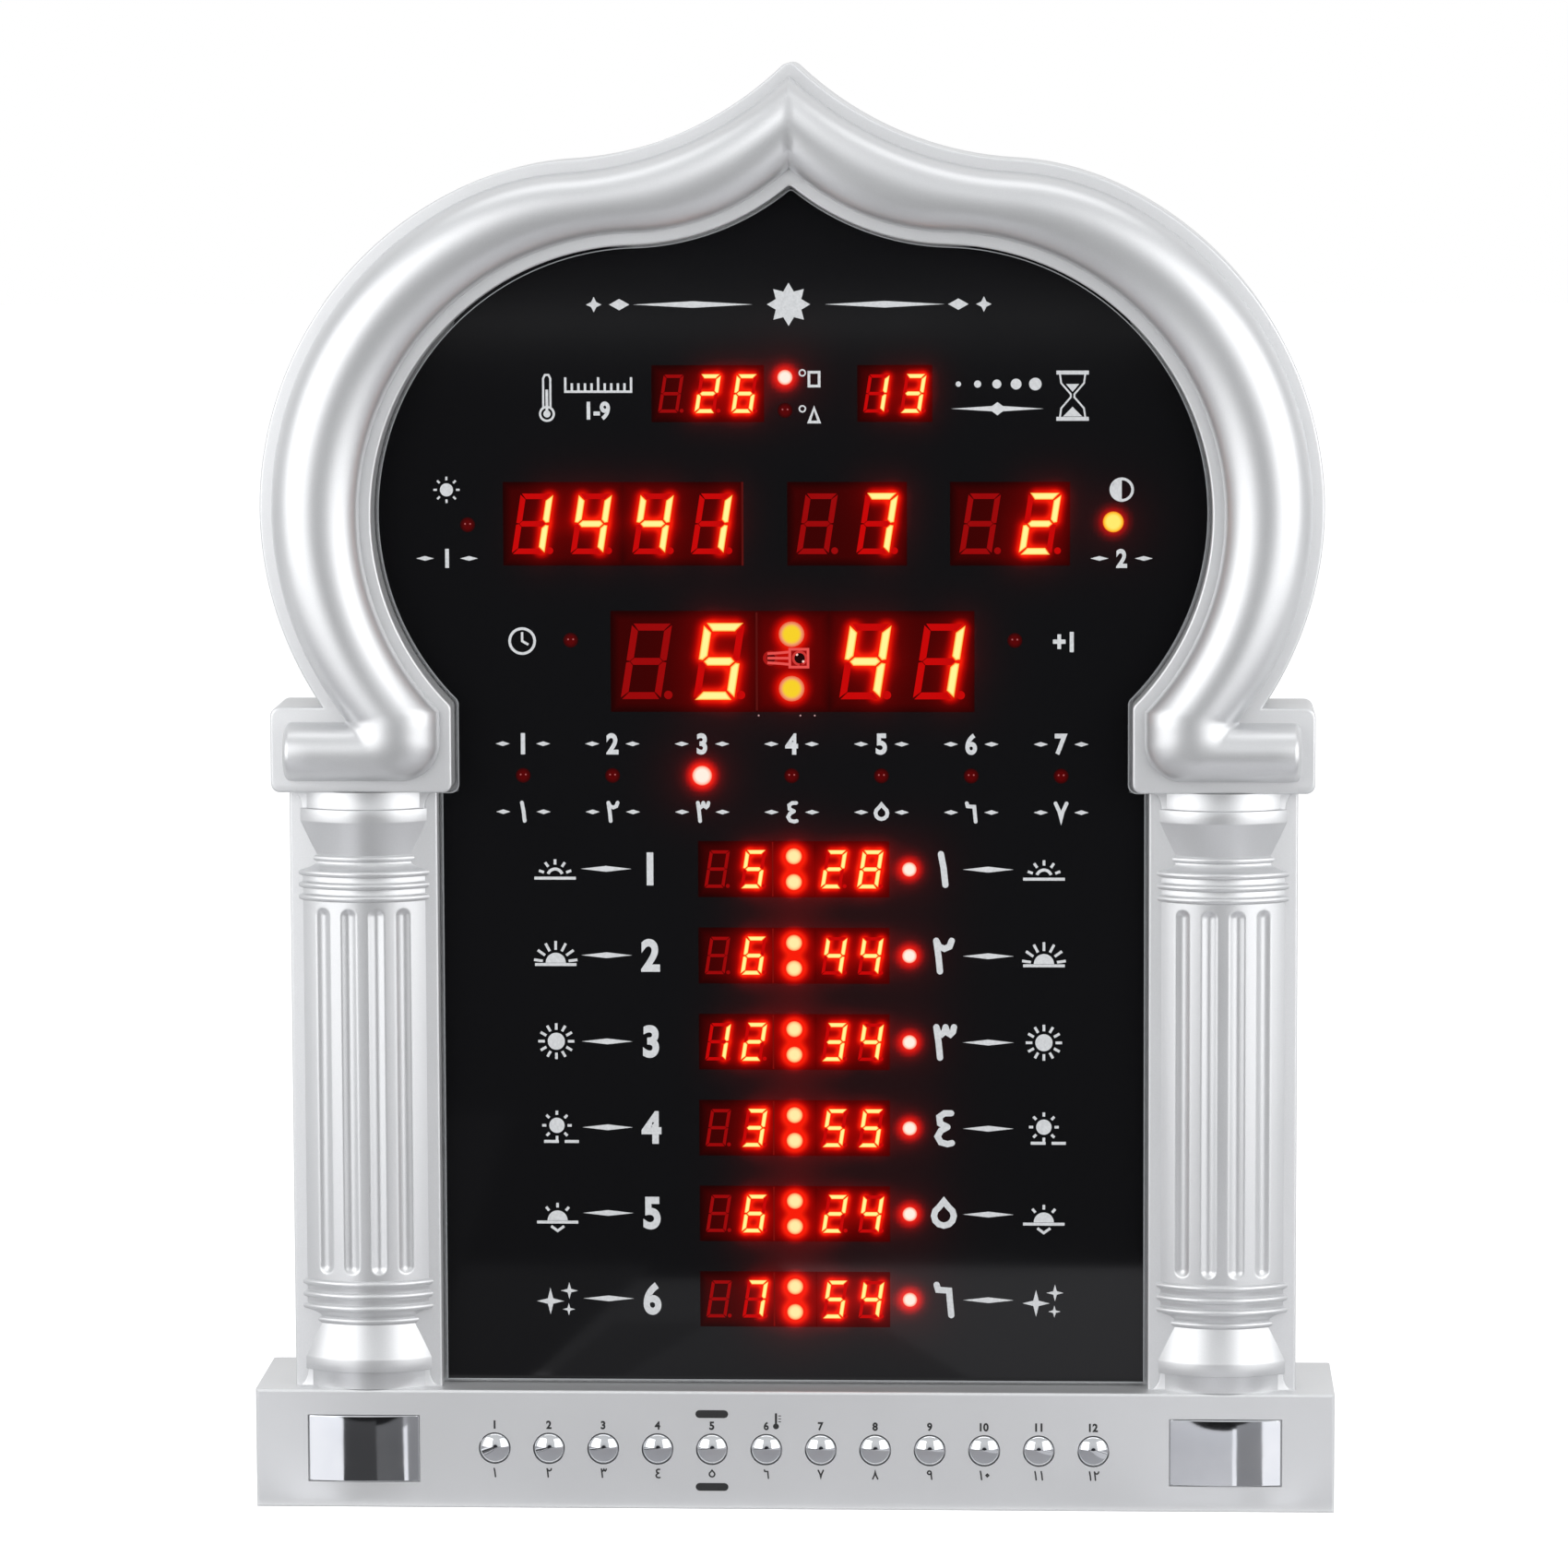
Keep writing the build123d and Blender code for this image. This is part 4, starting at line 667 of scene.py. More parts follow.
# ------------------------------------------------------------------ marks printed on the base
# The buttons' numbers, pad printed in black on the paint: common figures above each button and
# Eastern Arabic figures below it, with a bar over and under the fifth and a thermometer by the sixth.
black = (0, 0, 0, 1)
layer_step, layer_count = 0.0015, 24      # each mark lies a little before the last; then the planes repeat


def turn_forwards(face):
    face.normal_update()
    if face.normal.y > 0:
        face.normal_flip()


class Print:
    """Thin flat marks on a front face, each point with its own light."""

    def __init__(self, depth):
        self.depth = depth
        self.layer = 0
        self.shape = bmesh.new()
        self.light = self.shape.verts.layers.float_color.new("light")

    def vert(self, x, z, colour):
        made = self.shape.verts.new(at(x, self.depth - layer_step * self.layer, z))
        made[self.light] = colour
        return made

    def fill(self, points, colour=black):
        self.layer = (self.layer + 1) % layer_count
        turn_forwards(self.shape.faces.new([self.vert(x, z, colour) for x, z in points]))

    def bands(self, loops):
        """Nested outlines of equal count, from the middle outwards, as (points, colour)."""
        last = None
        for points, colour in loops:
            loop = [self.vert(x, z, colour) for x, z in points]
            if last is None:
                turn_forwards(self.shape.faces.new(loop))
            else:
                for k in range(len(loop)):
                    turn_forwards(self.shape.faces.new((last[k], last[k - 1], loop[k - 1], loop[k])))
            last = loop

    def stroke(self, points, width, colour=black, closed=False, round_ends=False):
        """Line of constant width with mitred corners."""
        line = [Vector(p) for p in points]
        count = len(line)
        rims = []
        for i, here in enumerate(line):
            before = line[i - 1] if i or closed else None
            after = line[(i + 1) % count] if i < count - 1 or closed else None
            one = (here - before).normalized() if before is not None else (after - here).normalized()
            two = (after - here).normalized() if after is not None else one
            normal = Vector((-(one.y + two.y), one.x + two.x))
            normal = normal.normalized() if normal.length > 1e-6 else Vector((-one.y, one.x))
            grow = width / 2 / max(0.5, normal.dot(Vector((-one.y, one.x))))
            rims.append((here + normal * grow, here - normal * grow))
        for i in range(count if closed else count - 1):
            (a, b), (c, d) = rims[i], rims[(i + 1) % count]
            self.fill([a, c, d, b], colour)
        if round_ends:
            for p in (line[0], line[-1]):
                self.disc(p.x, p.y, width / 2, colour, 12)

    def disc(self, x, z, radius, colour=black, steps=28):
        self.fill([on((x, z), radius, 360 * k / steps) for k in range(steps)], colour)

    def ring(self, x, z, radius, width, colour=black, steps=40):
        self.stroke([on((x, z), radius, 360 * k / steps) for k in range(steps)], width, colour, closed=True)

    def lozenge(self, x, z, half_length, half_height):
        self.fill([(x - half_length, z), (x, z + half_height), (x + half_length, z), (x, z - half_height)])

    def figure(self, text, x, z, height, narrow=0.86, weight=0.04):
        """Plain bold figures, centred on a place."""
        curve = bpy.data.curves.new("figure", "FONT")
        curve.body = text
        curve.offset = weight
        curve.resolution_u = 6
        holder = placed("figure", curve)
        mesh = applied(holder)
        bpy.data.objects.remove(holder)
        xs, ys = [v.co.x for v in mesh.vertices], [v.co.y for v in mesh.vertices]
        scale = height / (max(ys) - min(ys))
        middle_x, middle_y = (max(xs) + min(xs)) / 2, (max(ys) + min(ys)) / 2
        verts = [self.vert(x + (px - middle_x) * scale * narrow, z + (py - middle_y) * scale, black)
                 for px, py in zip(xs, ys)]
        for polygon in mesh.polygons:
            turn_forwards(self.shape.faces.new([verts[i] for i in polygon.vertices]))
        bpy.data.meshes.remove(mesh)

    def eastern(self, text, x, z, height, weight=0.17):
        """Eastern Arabic figures drawn with a broad pen."""
        pitch = 0.62 * height
        start = x - pitch * (len(text) - 1) / 2
        for i, sign in enumerate(text):
            for line, closed in eastern_lines[sign]:
                points = [(start + i * pitch + px * height, z + pz * height) for px, pz in line]
                self.stroke(points, weight * height, closed=closed, round_ends=not closed)


# Pen lines of each figure on a body one unit high, and whether they close.
stem_2 = [(-0.2, 0.42), (-0.14, 0.0), (-0.1, -0.42)]
eastern_lines = {
    "0": [([(0, 0.13), (0.13, 0), (0, -0.13), (-0.13, 0)], True)],
    "1": [([(-0.07, 0.42), (0.0, 0.05), (0.05, -0.42)], False)],
    "2": [(stem_2, False), ([(-0.2, 0.42), (-0.12, 0.26), (0.02, 0.2), (0.16, 0.26), (0.22, 0.42)], False)],
    "3": [(stem_2, False), ([(-0.2, 0.42), (-0.15, 0.27), (-0.06, 0.22), (0.02, 0.29), (0.05, 0.42)], False),
          ([(0.05, 0.42), (0.1, 0.27), (0.18, 0.22), (0.25, 0.29), (0.28, 0.42)], False)],
    "4": [([(0.2, 0.42), (0.02, 0.42), (-0.12, 0.32), (-0.1, 0.14), (0.1, 0.04)], False),
          ([(0.1, 0.04), (-0.08, -0.06), (-0.17, -0.22), (-0.08, -0.38), (0.1, -0.43), (0.22, -0.4)], False)],
    "5": [([on((0, -0.04), 0.27, 90 + 30 * k) if k else (0, 0.36) for k in range(12)], True)],
    "6": [([(-0.2, 0.42), (-0.16, 0.28), (0.14, 0.26), (0.16, 0.0), (0.2, -0.42)], False)],
    "7": [([(-0.25, 0.42), (-0.08, 0.05), (0, -0.42), (0.08, 0.05), (0.25, 0.42)], False)],
    "8": [([(-0.25, -0.42), (-0.08, -0.05), (0, 0.42), (0.08, -0.05), (0.25, -0.42)], False)],
    "9": [([on((-0.04, 0.24), 0.18, 36 * k) for k in range(10)], True),
          ([(0.15, 0.26), (0.15, 0), (0.2, -0.42)], False)]}

black_ink = Finish("black_ink", Base_Color=(0.012, 0.012, 0.013, 1))
black_ink.to("Roughness", 0.42 + black_ink.noise(900, 2.0) * 0.25)
button_z, button_pitch = 20.6, 18.37
button_xs = [(i - 5.5) * button_pitch for i in range(12)]
paint_lift = 0.03                         # distance of the marks before the base's face
figure_up, figure_height = 8.1, 2.9       # places of the figures from a button's middle, and their heights
eastern_down, eastern_height = 8.4, 3.4
bar_up, bar_down, bar_half, bar_round = 12.1, 12.9, 4.2, 1.35
marks = Print(-paint_lift)
for number, x in enumerate(button_xs, 1):
    marks.figure(str(number), x, button_z + figure_up, figure_height, narrow=0.95)
    marks.eastern(str(number), x, button_z - eastern_down, eastern_height, weight=0.15)
for z in (button_z + bar_up, button_z - bar_down):
    bar = [on((s * bar_half, 0), bar_round, -90 * s + 30 * k) for s in (1, -1) for k in range(7)]
    marks.fill([(button_xs[4] + px, z + pz) for px, pz in bar])
tube, bulb = button_xs[5] + 3.3, button_z + 8.0
marks.disc(tube, bulb, 1.0)
marks.stroke([(tube, bulb), (tube, button_z + 12.2)], 0.75, round_ends=True)
for k in range(3):
    marks.stroke([(tube + 0.8, button_z + 9.6 + k), (tube + 1.7, button_z + 9.6 + k)], 0.3)
dressed("button_marks", marks.shape, black_ink)

# ------------------------------------------------------------------ chrome plates
# Two thin plates of bright chrome foil on plastic, pushed into shallow seats in the base's face.
# Each bows forwards between its ends, and its front edge has a small round.
plate_z, half_w, half_h, bow, seat = 20.3, 18.7, 11.2, 1.5, 1.3
chrome = Finish("bright_chrome", Metallic=1.0)
haze = chrome.noise(60, 3.0)
chrome.grain(haze, (0.35, 0.70, 0.715, 0.74), (0.65, 0.78, 0.79, 0.805), 0.04, 0.05)
chrome.bump(chrome.noise(90, 2.0), 0.05, 0.0003)
across = [half_w * (i / 16 - 1) for i in range(33)]
for side, side_name in sides:
    rows = []
    for inset, lift in ((0, 0), (0, 0.6), (0.1, 0.75), (0.35, 0.8)):
        row = []
        for z, spread in ((plate_z - half_h + inset, across), (plate_z + half_h - inset, across[::-1])):
            for x in spread:
                rise = lift + (bow * (1 - (x / half_w) ** 2) if lift else 0)
                row.append(at(side * plate_x + x * (1 - inset / half_w), seat - rise, z))
        rows.append(row)
    shape = rows_mesh(rows, caps=False)
    shape.verts.ensure_lookup_table()
    count = len(rows[0])
    back, front = shape.verts[:count], shape.verts[-count:]
    for i in range(len(across) - 1):
        shape.faces.new((front[i], front[i + 1], front[count - 2 - i], front[count - 1 - i]))
    shape.faces.new(back)
    piece(f"chrome_plate_{side_name}_foil", shape, chrome,
          stands_for=[f"chrome_plate_{side_name}"], sharp=50)

# ------------------------------------------------------------------ push buttons
# Twelve domed caps in bright chrome, each with a flange behind the wall and a stem in its switch.
# The profile is (radius, distance before the base's face); its end rings are merged to points.
button_profile = [(0.001, 1.9), (0.9, 1.85), (1.8, 1.69), (2.7, 1.42), (3.5, 1.08), (4.2, 0.68), (4.7, 0.3),
                  (5.0, -0.02), (5.1, -0.3), (5.1, -2.8), (6.4, -2.8), (6.4, -4.0), (1.7, -4.0), (1.7, -10.0),
                  (0.001, -10.0)]
turns = [math.tau * k / 48 for k in range(48)]
for number, x in enumerate(button_xs, 1):
    rows = [[at(x + radius * math.cos(t), -forward, button_z + radius * math.sin(t)) for t in turns]
            for radius, forward in button_profile]
    piece(f"button_{number}_cap", rows_mesh(rows), chrome, body=f"key_{number}",
          stands_for=[f"button_{number}"], sharp=40)

# ------------------------------------------------------------------ black display panel
# A 3 mm sheet of polished black acrylic; the lamps behind it shine through as a red glow.
# The glow is kept with the sheet's points, strongest round the lit segments.
lit = []          # (x0, z0, x1, z1, half width, strength, spread) of each bar and lamp
panel_gap = 1.1   # between the sheet's edge and the frame
window_lift, face_lift = 0.02, 0.04       # of the modules' windows and lit faces before the sheet
time_z, date_z, top_z = 286.4, 332.6, 376.1
row_zs = [216.3 - 29.33 * i for i in range(6)]
day_xs, day_z = [(i - 3) * 30.1 - 0.4 for i in range(7)], 247.9
large, medium, small = 25.4, 20.3, 12.7   # heights of the figures


def linear(*rgb):
    """Light of an sRGB colour."""
    return tuple((c / 255) ** 2.2 for c in rgb) + (1,)


core, halo_edge = linear(255, 246, 150), linear(255, 150, 20)
# Faint red glow of the unlit bars, stronger in a figure that has lit bars: painted light.
unlit_bar_glow_near, unlit_bar_glow_far = linear(196, 8, 8), linear(150, 10, 12)
segments_of = {"0": "abcdef", "1": "bc", "2": "abged", "3": "abgcd", "4": "fgbc", "5": "afgcd", "6": "afgedc",
               "7": "abc", "8": "abcdefg", "9": "abcdfg", " ": ""}
slant = math.tan(math.radians(9))


def segment_shapes(height, width, s, g):
    """Seven bars with pointed ends, of a stroke and a gap, as outlines round the digit's centre."""
    w, h = width / 2, height / 2
    shapes = {
        "a": [(-w + g + 0.15 * s, h), (w - g - 0.15 * s, h), (w - g - s, h - s), (-w + g + s, h - s)],
        "d": [(-w + g + s, -h + s), (w - g - s, -h + s), (w - g - 0.15 * s, -h), (-w + g + 0.15 * s, -h)],
        "g": [(-w + s + g, s / 2), (w - s - g, s / 2), (w - s / 2 - g, 0.0), (w - s - g, -s / 2),
              (-w + s + g, -s / 2), (-w + s / 2 + g, 0.0)],
        "b": [(w, h - g - 0.15 * s), (w, g + 0.1 * s), (w - s / 2, g), (w - s, s / 2 + g),
              (w - s, h - s - g)]}
    for name, side, up in (("f", -1, 1), ("c", 1, -1), ("e", -1, -1)):
        shapes[name] = [(side * x, up * z) for x, z in shapes["b"]]
    return shapes


def shrink(outline, by):
    """Outline drawn in towards its own middle line."""
    points = [Vector(p) for p in outline]
    after = points[1:] + points[:1]
    area = sum(p.x * q.y - q.x * p.y for p, q in zip(points, after))
    sign = 1 if area > 0 else -1
    out = []
    for i, here in enumerate(points):
        one, two = (here - points[i - 1]).normalized(), (after[i] - here).normalized()
        n1, n2 = Vector((-one.y, one.x)) * sign, Vector((-two.y, two.x)) * sign
        normal = (n1 + n2).normalized()
        out.append(here + normal * by / max(0.45, normal.dot(n1)))
    return [(p.x, p.y) for p in out]


segments = Print(panel_front - face_lift)


def digit(value, x, z, height):
    """One figure: lit bars with a pale core and an orange edge, and the unlit bars with a faint painted glow.
    """
    width, stroke = height * 0.53, height * (0.086 if height < 15 else 0.092)
    bright = height * 0.112
    # The unlit bars and the dot take the painted glow.
    unlit = unlit_bar_glow_near if value != " " else unlit_bar_glow_far
    lit_shapes = segment_shapes(height + bright - stroke, width + bright - stroke, bright, height * 0.016)
    for name, outline in segment_shapes(height, width, stroke, height * 0.006).items():
        if name not in segments_of[value]:
            segments.fill([(x + px + pz * slant, z + pz) for px, pz in outline], unlit)
            continue
        points = [(x + px + pz * slant, z + pz) for px, pz in lit_shapes[name]]
        segments.bands([(shrink(points, bright * 0.22), core), (points, halo_edge)])
        xs, zs = [p[0] for p in points], [p[1] for p in points]
        if name in "adg":
            line = (min(xs) + bright, sum(zs) / len(zs), max(xs) - bright, sum(zs) / len(zs))
        else:
            lo, hi = min(zs) + bright / 2, max(zs) - bright / 2
            cx = sum(px - (pz - z) * slant for px, pz in points) / len(points)
            line = (cx + (lo - z) * slant, lo, cx + (hi - z) * slant, hi)
        lit.append(line + (bright / 2, 1.0, 0.55 + 1.15 * (height / large)))
    dot = (x + width / 2 + stroke * 1.1 - height / 2 * slant, z - height / 2 + stroke * 0.6)
    segments.disc(*dot, stroke * 0.62, unlit, 14)


readings = [(" 5", (-49.0, -24.6), time_z, large), ("41", (24.3, 49.0), time_z, large),
            ("1441", (-87.0, -67.3, -46.6, -27.0), date_z, medium), (" 7", (8.4, 28.4), date_z, medium),
            (" 2", (62.8, 82.8), date_z, medium), (" 26", (-40.3, -28.0, -15.7), top_z, small),
            ("13", (28.2, 40.5), top_z, small)]
for z, row_time in zip(row_zs, (" 528", " 644", "1234", " 355", " 624", " 754")):
    readings.append((row_time, (-25.6, -13.4, 13.7, 25.9), z, small))
for text, places, z, height in readings:
    for value, x in zip(text, places):
        digit(value, x, z, height)


def lamp_spot(x, z, radius, rings, glow=0):
    """Round lamp seen from its front, as rings of light from the middle outwards."""
    segments.bands([([on((x, z), radius * share, 15 * k) for k in range(24)], linear(*rgb))
                    for share, *rgb in rings])
    if glow:
        lit.append((x, z, x, z, radius * 0.9, glow, 2.1))


amber = [(0.55, 247, 208, 44), (0.7, 246, 190, 70), (0.82, 240, 150, 105), (1.0, 226, 96, 66)]
pale = [(0.5, 255, 236, 165), (0.78, 255, 205, 140), (1.0, 255, 96, 50)]
hot = [(0.6, 255, 240, 225), (0.85, 255, 190, 165), (1.0, 255, 60, 40)]
golden = [(0.6, 255, 235, 110), (0.85, 255, 200, 60), (1.0, 250, 120, 20)]
# Unlit lamps are drawn in a dim red glow: painted light.
unlit_lamp_glow = [(0.5, 84, 3, 8), (1.0, 44, 3, 6)]
segments.layer = 0
for s in (-1, 1):
    lamp_spot(-0.3, time_z + s * 9.15, 4.3, amber, 1.0)
for z in row_zs:
    for s in (-1, 1):
        lamp_spot(0.2, z + s * 4.35, 2.75, pale, 1.5)
    lamp_spot(39.0, z, 2.5, hot, 1.3)
for i, x in enumerate(day_xs):
    lamp_spot(x, day_z, *((3.4, hot, 1.5) if i == 2 else (2.5, unlit_lamp_glow)))
lamp_spot(107.2, 333.2, 3.5, golden, 0.8)
lamp_spot(-2.2, 381.5, 2.6, hot, 1.3)
unlit_lamps = [(-108.7, 332.3), (-74.4, 293.5), (74.4, 293.5), (-2.2, 370.5)]
for x, z in unlit_lamps:
    lamp_spot(x, z, 2.5, unlit_lamp_glow)
for x, z in unlit_lamps + [(x, day_z) for i, x in enumerate(day_xs) if i != 2]:
    for s in (-1, 1):
        segments.disc(x + s * 0.85, z + 0.3, 0.28, linear(168, 92, 92), 10)

# The receiver between the time's dots: a square eye, a lens beside it and the three leads across. It is no
# lamp but is drawn in emitted light: painted light.
receiver_glow, eye_z = linear(232, 84, 80), 287.5
segments.layer = 0
frame_line = [(-0.9, eye_z + 3), (5.2, eye_z + 3), (5.2, eye_z - 3), (-0.9, eye_z - 3)]
segments.fill(frame_line, linear(150, 14, 14))
segments.stroke(frame_line, 0.85, receiver_glow, closed=True)
segments.ring(2.4, eye_z, 2.15, 0.8, linear(205, 60, 56), 24)
# The two pale dots on the dark lens are painted highlights.
for x, z, radius, rgb, steps in (
        (2.4, eye_z, 1.75, (34, 2, 5), 24), (1.5, 288.7, 0.42, (255, 205, 195), 10),
        (3.6, 286.4, 0.42, (255, 205, 195), 10), (-7.4, eye_z, 2.5, (165, 26, 24), 24),
        (-7.2, eye_z, 1.5, (95, 6, 8), 20)):
    segments.disc(x, z, radius, linear(*rgb), steps)
for s in (-1, 0, 1):
    segments.stroke([(-8.4, eye_z + 1.5 * s), (-4.0, eye_z + 1.8 * s), (-1.0, eye_z + 2.1 * s)], 0.85, receiver_glow)
# Painted glow on the panel round the receiver.
lit.append((-4.0, eye_z, 2.0, eye_z, 1.5, 0.45, 1.6))

# Seams between the modules, and three small specks under the time.
seams = [(-16.6, date_z, 14, 0.7, (86, 22, 20)), (-12.0, time_z, 16.5, 0.7, (86, 22, 20))]
for x, z, half, width, rgb in seams + [(-6.9, z, 9.2, 0.5, (120, 18, 14)) for z in row_zs]:
    segments.stroke([(x, z - half), (x, z + half)], width, linear(*rgb))
for x in (-11.4, 2.6, 7.4):
    segments.disc(x, 268.2, 0.3, linear(190, 150, 150), 8)

deep_red = dict(Base_Color=(0.004, 0.001, 0.001, 1), Specular_IOR_Level=0.08, Emission_Strength=1.0)
glowing = Finish("lamp_light", **deep_red)
glowing.to("Emission Color", glowing.node("Attribute", {"attribute_name": "light"}, output="Color"))
glowing.to("Roughness", 0.2 + glowing.noise(120, 2.0) * 0.1)
dressed("lamp_faces", segments.shape, glowing)

spots = np.array(lit)
near_glow, far_glow, far_reach = 0.42, 0.15, 2.4


def glow_at(points):
    """Red light that reaches each place of the panel from the lit segments and lamps."""
    total = np.zeros(len(points))
    for x0, z0, x1, z1, radius, strength, spread in spots:
        run = np.array([x1 - x0, z1 - z0])
        length = max(run @ run, 1e-9)
        share = np.clip(((points - [x0, z0]) @ run) / length, 0, 1)
        gap = np.maximum(np.linalg.norm(points - [x0, z0] - share[:, None] * run, axis=1) - radius, 0)
        near = near_glow * np.exp(-(gap / spread) ** 2)
        total += strength * (near + far_glow * np.exp(-gap / (far_reach * spread)))
    return total


def glow_grid(shape, points, values, depth, wide):
    """Rows of faces across points, each point with its own glow; returns the points and their layer."""
    layer = shape.verts.layers.float_color.get("glow") or shape.verts.layers.float_color.new("glow")
    verts = []
    for (x, z), value in zip(points, values):
        vert = shape.verts.new(at(x, depth, z))
        vert[layer] = (value, value, value, 1)
        verts.append(vert)
    for r in range(0, len(verts) - wide, wide):
        for a in range(r, r + wide - 1):
            shape.faces.new((verts[a], verts[a + 1], verts[a + wide + 1], verts[a + wide]))
    return verts, layer


def panel_half(z):
    """Half width of the panel at a height."""
    if z < block_bottom - panel_gap + 0.001:
        return pilaster_inner - panel_gap
    radius, reverse = rim_radius - panel_gap, rim_point_radius + panel_gap
    if z > on(rim_centre, radius, aim(rim_centre, rim_point_centre))[1]:
        return rim_point_centre[0] - math.sqrt(max(reverse ** 2 - (rim_point_centre[1] - z) ** 2, 0))
    wide = rim_centre[0] + math.sqrt(max(radius ** 2 - (z - rim_centre[1]) ** 2, 0))
    return max(wide, block_inner - panel_gap)


# Rows of the sheet's points lie closest at the step under the blocks, at the rim's joint and at the point.
panel_top = rim_point_centre[1] - fall(rim_point_centre, rim_point_radius + panel_gap, 0)
heights = list(np.linspace(base_height + panel_gap, 242.1, 135)) + list(np.linspace(242.3, 418, 118))
joint_angle = aim(rim_centre, rim_point_centre)
heights += [on(rim_centre, rim_radius - panel_gap, a)[1] for a in np.linspace(69, joint_angle, 12)][1:]
joint = heights[-1]
heights += list(np.linspace(joint + 0.05, joint + 1.6, 8)) + list(np.linspace(joint + 1.9, panel_top, 22))
heights = sorted(set(round(float(h), 4) for h in heights if h <= panel_top))
columns = np.linspace(-1, 1, 181)
flat = np.array([(c * max(panel_half(z), 0.02), z) for z in heights for c in columns])
wide = len(columns)
shape = bmesh.new()
verts, layer = glow_grid(shape, flat, glow_at(flat), panel_front, wide)
left_edge, right_edge = verts[::wide], verts[wide - 1::wide]
border = left_edge[::-1] + verts[1:wide] + right_edge[1:] + verts[:-wide:-1][1:]
back = [shape.verts.new((v.co.x, v.co.y + (panel_back - panel_front) / 1000, v.co.z)) for v in border]
for vert in back:
    vert[layer] = black
for i in range(len(border)):
    j = (i + 1) % len(border)
    shape.faces.new((border[i], border[j], back[j], back[i]))
shape.faces.new(back)


def lit_through(name, **constants):
    """Polished black plastic through which the lamps behind it show red."""
    plastic = Finish(name, **constants)
    shine = plastic.node("Attribute", {"attribute_name": "glow"}, output="Fac")
    plastic.to("Emission Color", plastic.ramp(shine, (0.0, 0, 0, 0), (0.06, 0.014, 0, 0), (0.2, 0.10, 0, 0),
                                              (0.45, 0.42, 0.001, 0), (0.8, 0.95, 0.012, 0.002)))
    plastic.to("Roughness", 0.03 + plastic.noise(14, 3.0) * 0.05)
    return plastic


acrylic = lit_through("black_acrylic", Base_Color=(0.005, 0.005, 0.0056, 1), Specular_IOR_Level=0.38,
                      Emission_Strength=1.0)
red_window = lit_through("module_window", **deep_red)
piece("panel_sheet", shape, acrylic, stands_for=["display_panel"], sharp=30, merge=1e-5)

# Windows of the modules as they show through the sheet, as (x, z, width, height).
modules = [(-36.7, time_z, 48.6, 34.0), (36.6, time_z, 48.6, 34.0), (0, time_z, 24.6, 34.0),
           (-76.8, date_z, 40, 28), (-36.8, date_z, 40, 28), (18.4, date_z, 40, 28), (72.8, date_z, 40, 28),
           (-28, top_z, 37.6, 19), (34.4, top_z, 25, 19)]
for z in row_zs:
    modules += [(-19.5, z, 25, 19), (19.8, z, 25, 19), (0.2, z, 14.5, 19)]
window_grid, window_margin = 0.75, 3
window_edge, window_rise = 0.045, 0.055   # glow at a window's edge, and what its middle has more
windows = bmesh.new()
for mx, mz, mw, mh in modules:
    nx, nz = int(mw / window_grid), int(mh / window_grid)
    grid = np.array([(mx + mw * (i / nx - 0.5), mz + mh * (j / nz - 0.5))
                     for j in range(nz + 1) for i in range(nx + 1)])
    middle = np.abs(grid - [mx, mz])
    inside = np.clip(np.minimum(mw / 2 - middle[:, 0], mh / 2 - middle[:, 1]) / window_margin, 0, 1)
    light = glow_at(grid) + window_edge + window_rise * inside
    glow_grid(windows, grid, light, panel_front - window_lift, nx + 1)
for face in windows.faces:
    turn_forwards(face)
dressed("module_windows", windows, red_window)

# ------------------------------------------------------------------ polished edge of the panel
# The sheet's front edge is broken all round with a narrow ground bevel, which shows as a pale line.
# It is made as a thin ring let into the sheet's edge, barely proud of its face.
bevel_width, bevel_depth, proud = 0.35, 0.35, 0.015
ground = Finish("ground_edge", Base_Color=(0.3, 0.31, 0.32, 1))
ground.to("Roughness", 0.3 + ground.noise(500, 2.0) * 0.2)
outside, within = -panel_gap, -panel_gap - bevel_width
deep, near = panel_front + bevel_depth, panel_front - proud
line = opening_ring((outside, deep), (outside, near), (within, near), (within, deep), (outside, deep))
piece("panel_edge_line", line, ground)

# ------------------------------------------------------------------ marks printed on the panel
# Silver ink on the black sheet. Each row has its number in both kinds of figures and a sign for
# its time of day: dawn, sunrise, noon, afternoon, sunset and night. The days are plain numbers.
silver_ink = Finish("silver_ink", Metallic=0.25)
speck = silver_ink.noise(1500, 2.0)
silver_ink.grain(speck, (0.3, 0.50, 0.51, 0.52), (0.7, 0.60, 0.61, 0.62), 0.5, 0.15)
ink_lift = 0.05                            # of the ink before the sheet
ink = Print(panel_front - ink_lift)


def sun(x, z, radius, rays, first, last, reach, width=0.9, half=False, hollow=False):
    """Disc, half disc or open half ring with its rays."""
    if hollow:
        ink.stroke([on((x, z), radius - 0.5, first + (last - first) * k / 16) for k in range(17)], 1.0)
    elif half:
        ink.fill([on((x, z), radius, 180 * k / 20) for k in range(21)])
    else:
        ink.disc(x, z, radius)
    for k in range(rays):
        spin = first + (last - first) * (k / (rays - 1) if half or hollow else k / rays)
        ink.stroke([on((x, z), radius + 1.0, spin), on((x, z), radius + reach, spin)], width)


def star(x, z, points, outer, inner):
    ink.fill([on((x, z), inner if k % 2 else outer, 90 + 180 * k / points) for k in range(2 * points)])


def lozenge_pair(x, z, off, half_length, half_height):
    for s in (-1, 1):
        ink.lozenge(x + s * off, z, half_length, half_height)


def trace(x, z, points, width, closed=False):
    """Line through points given from a middle."""
    ink.stroke([(x + px, z + pz) for px, pz in points], width, closed=closed)


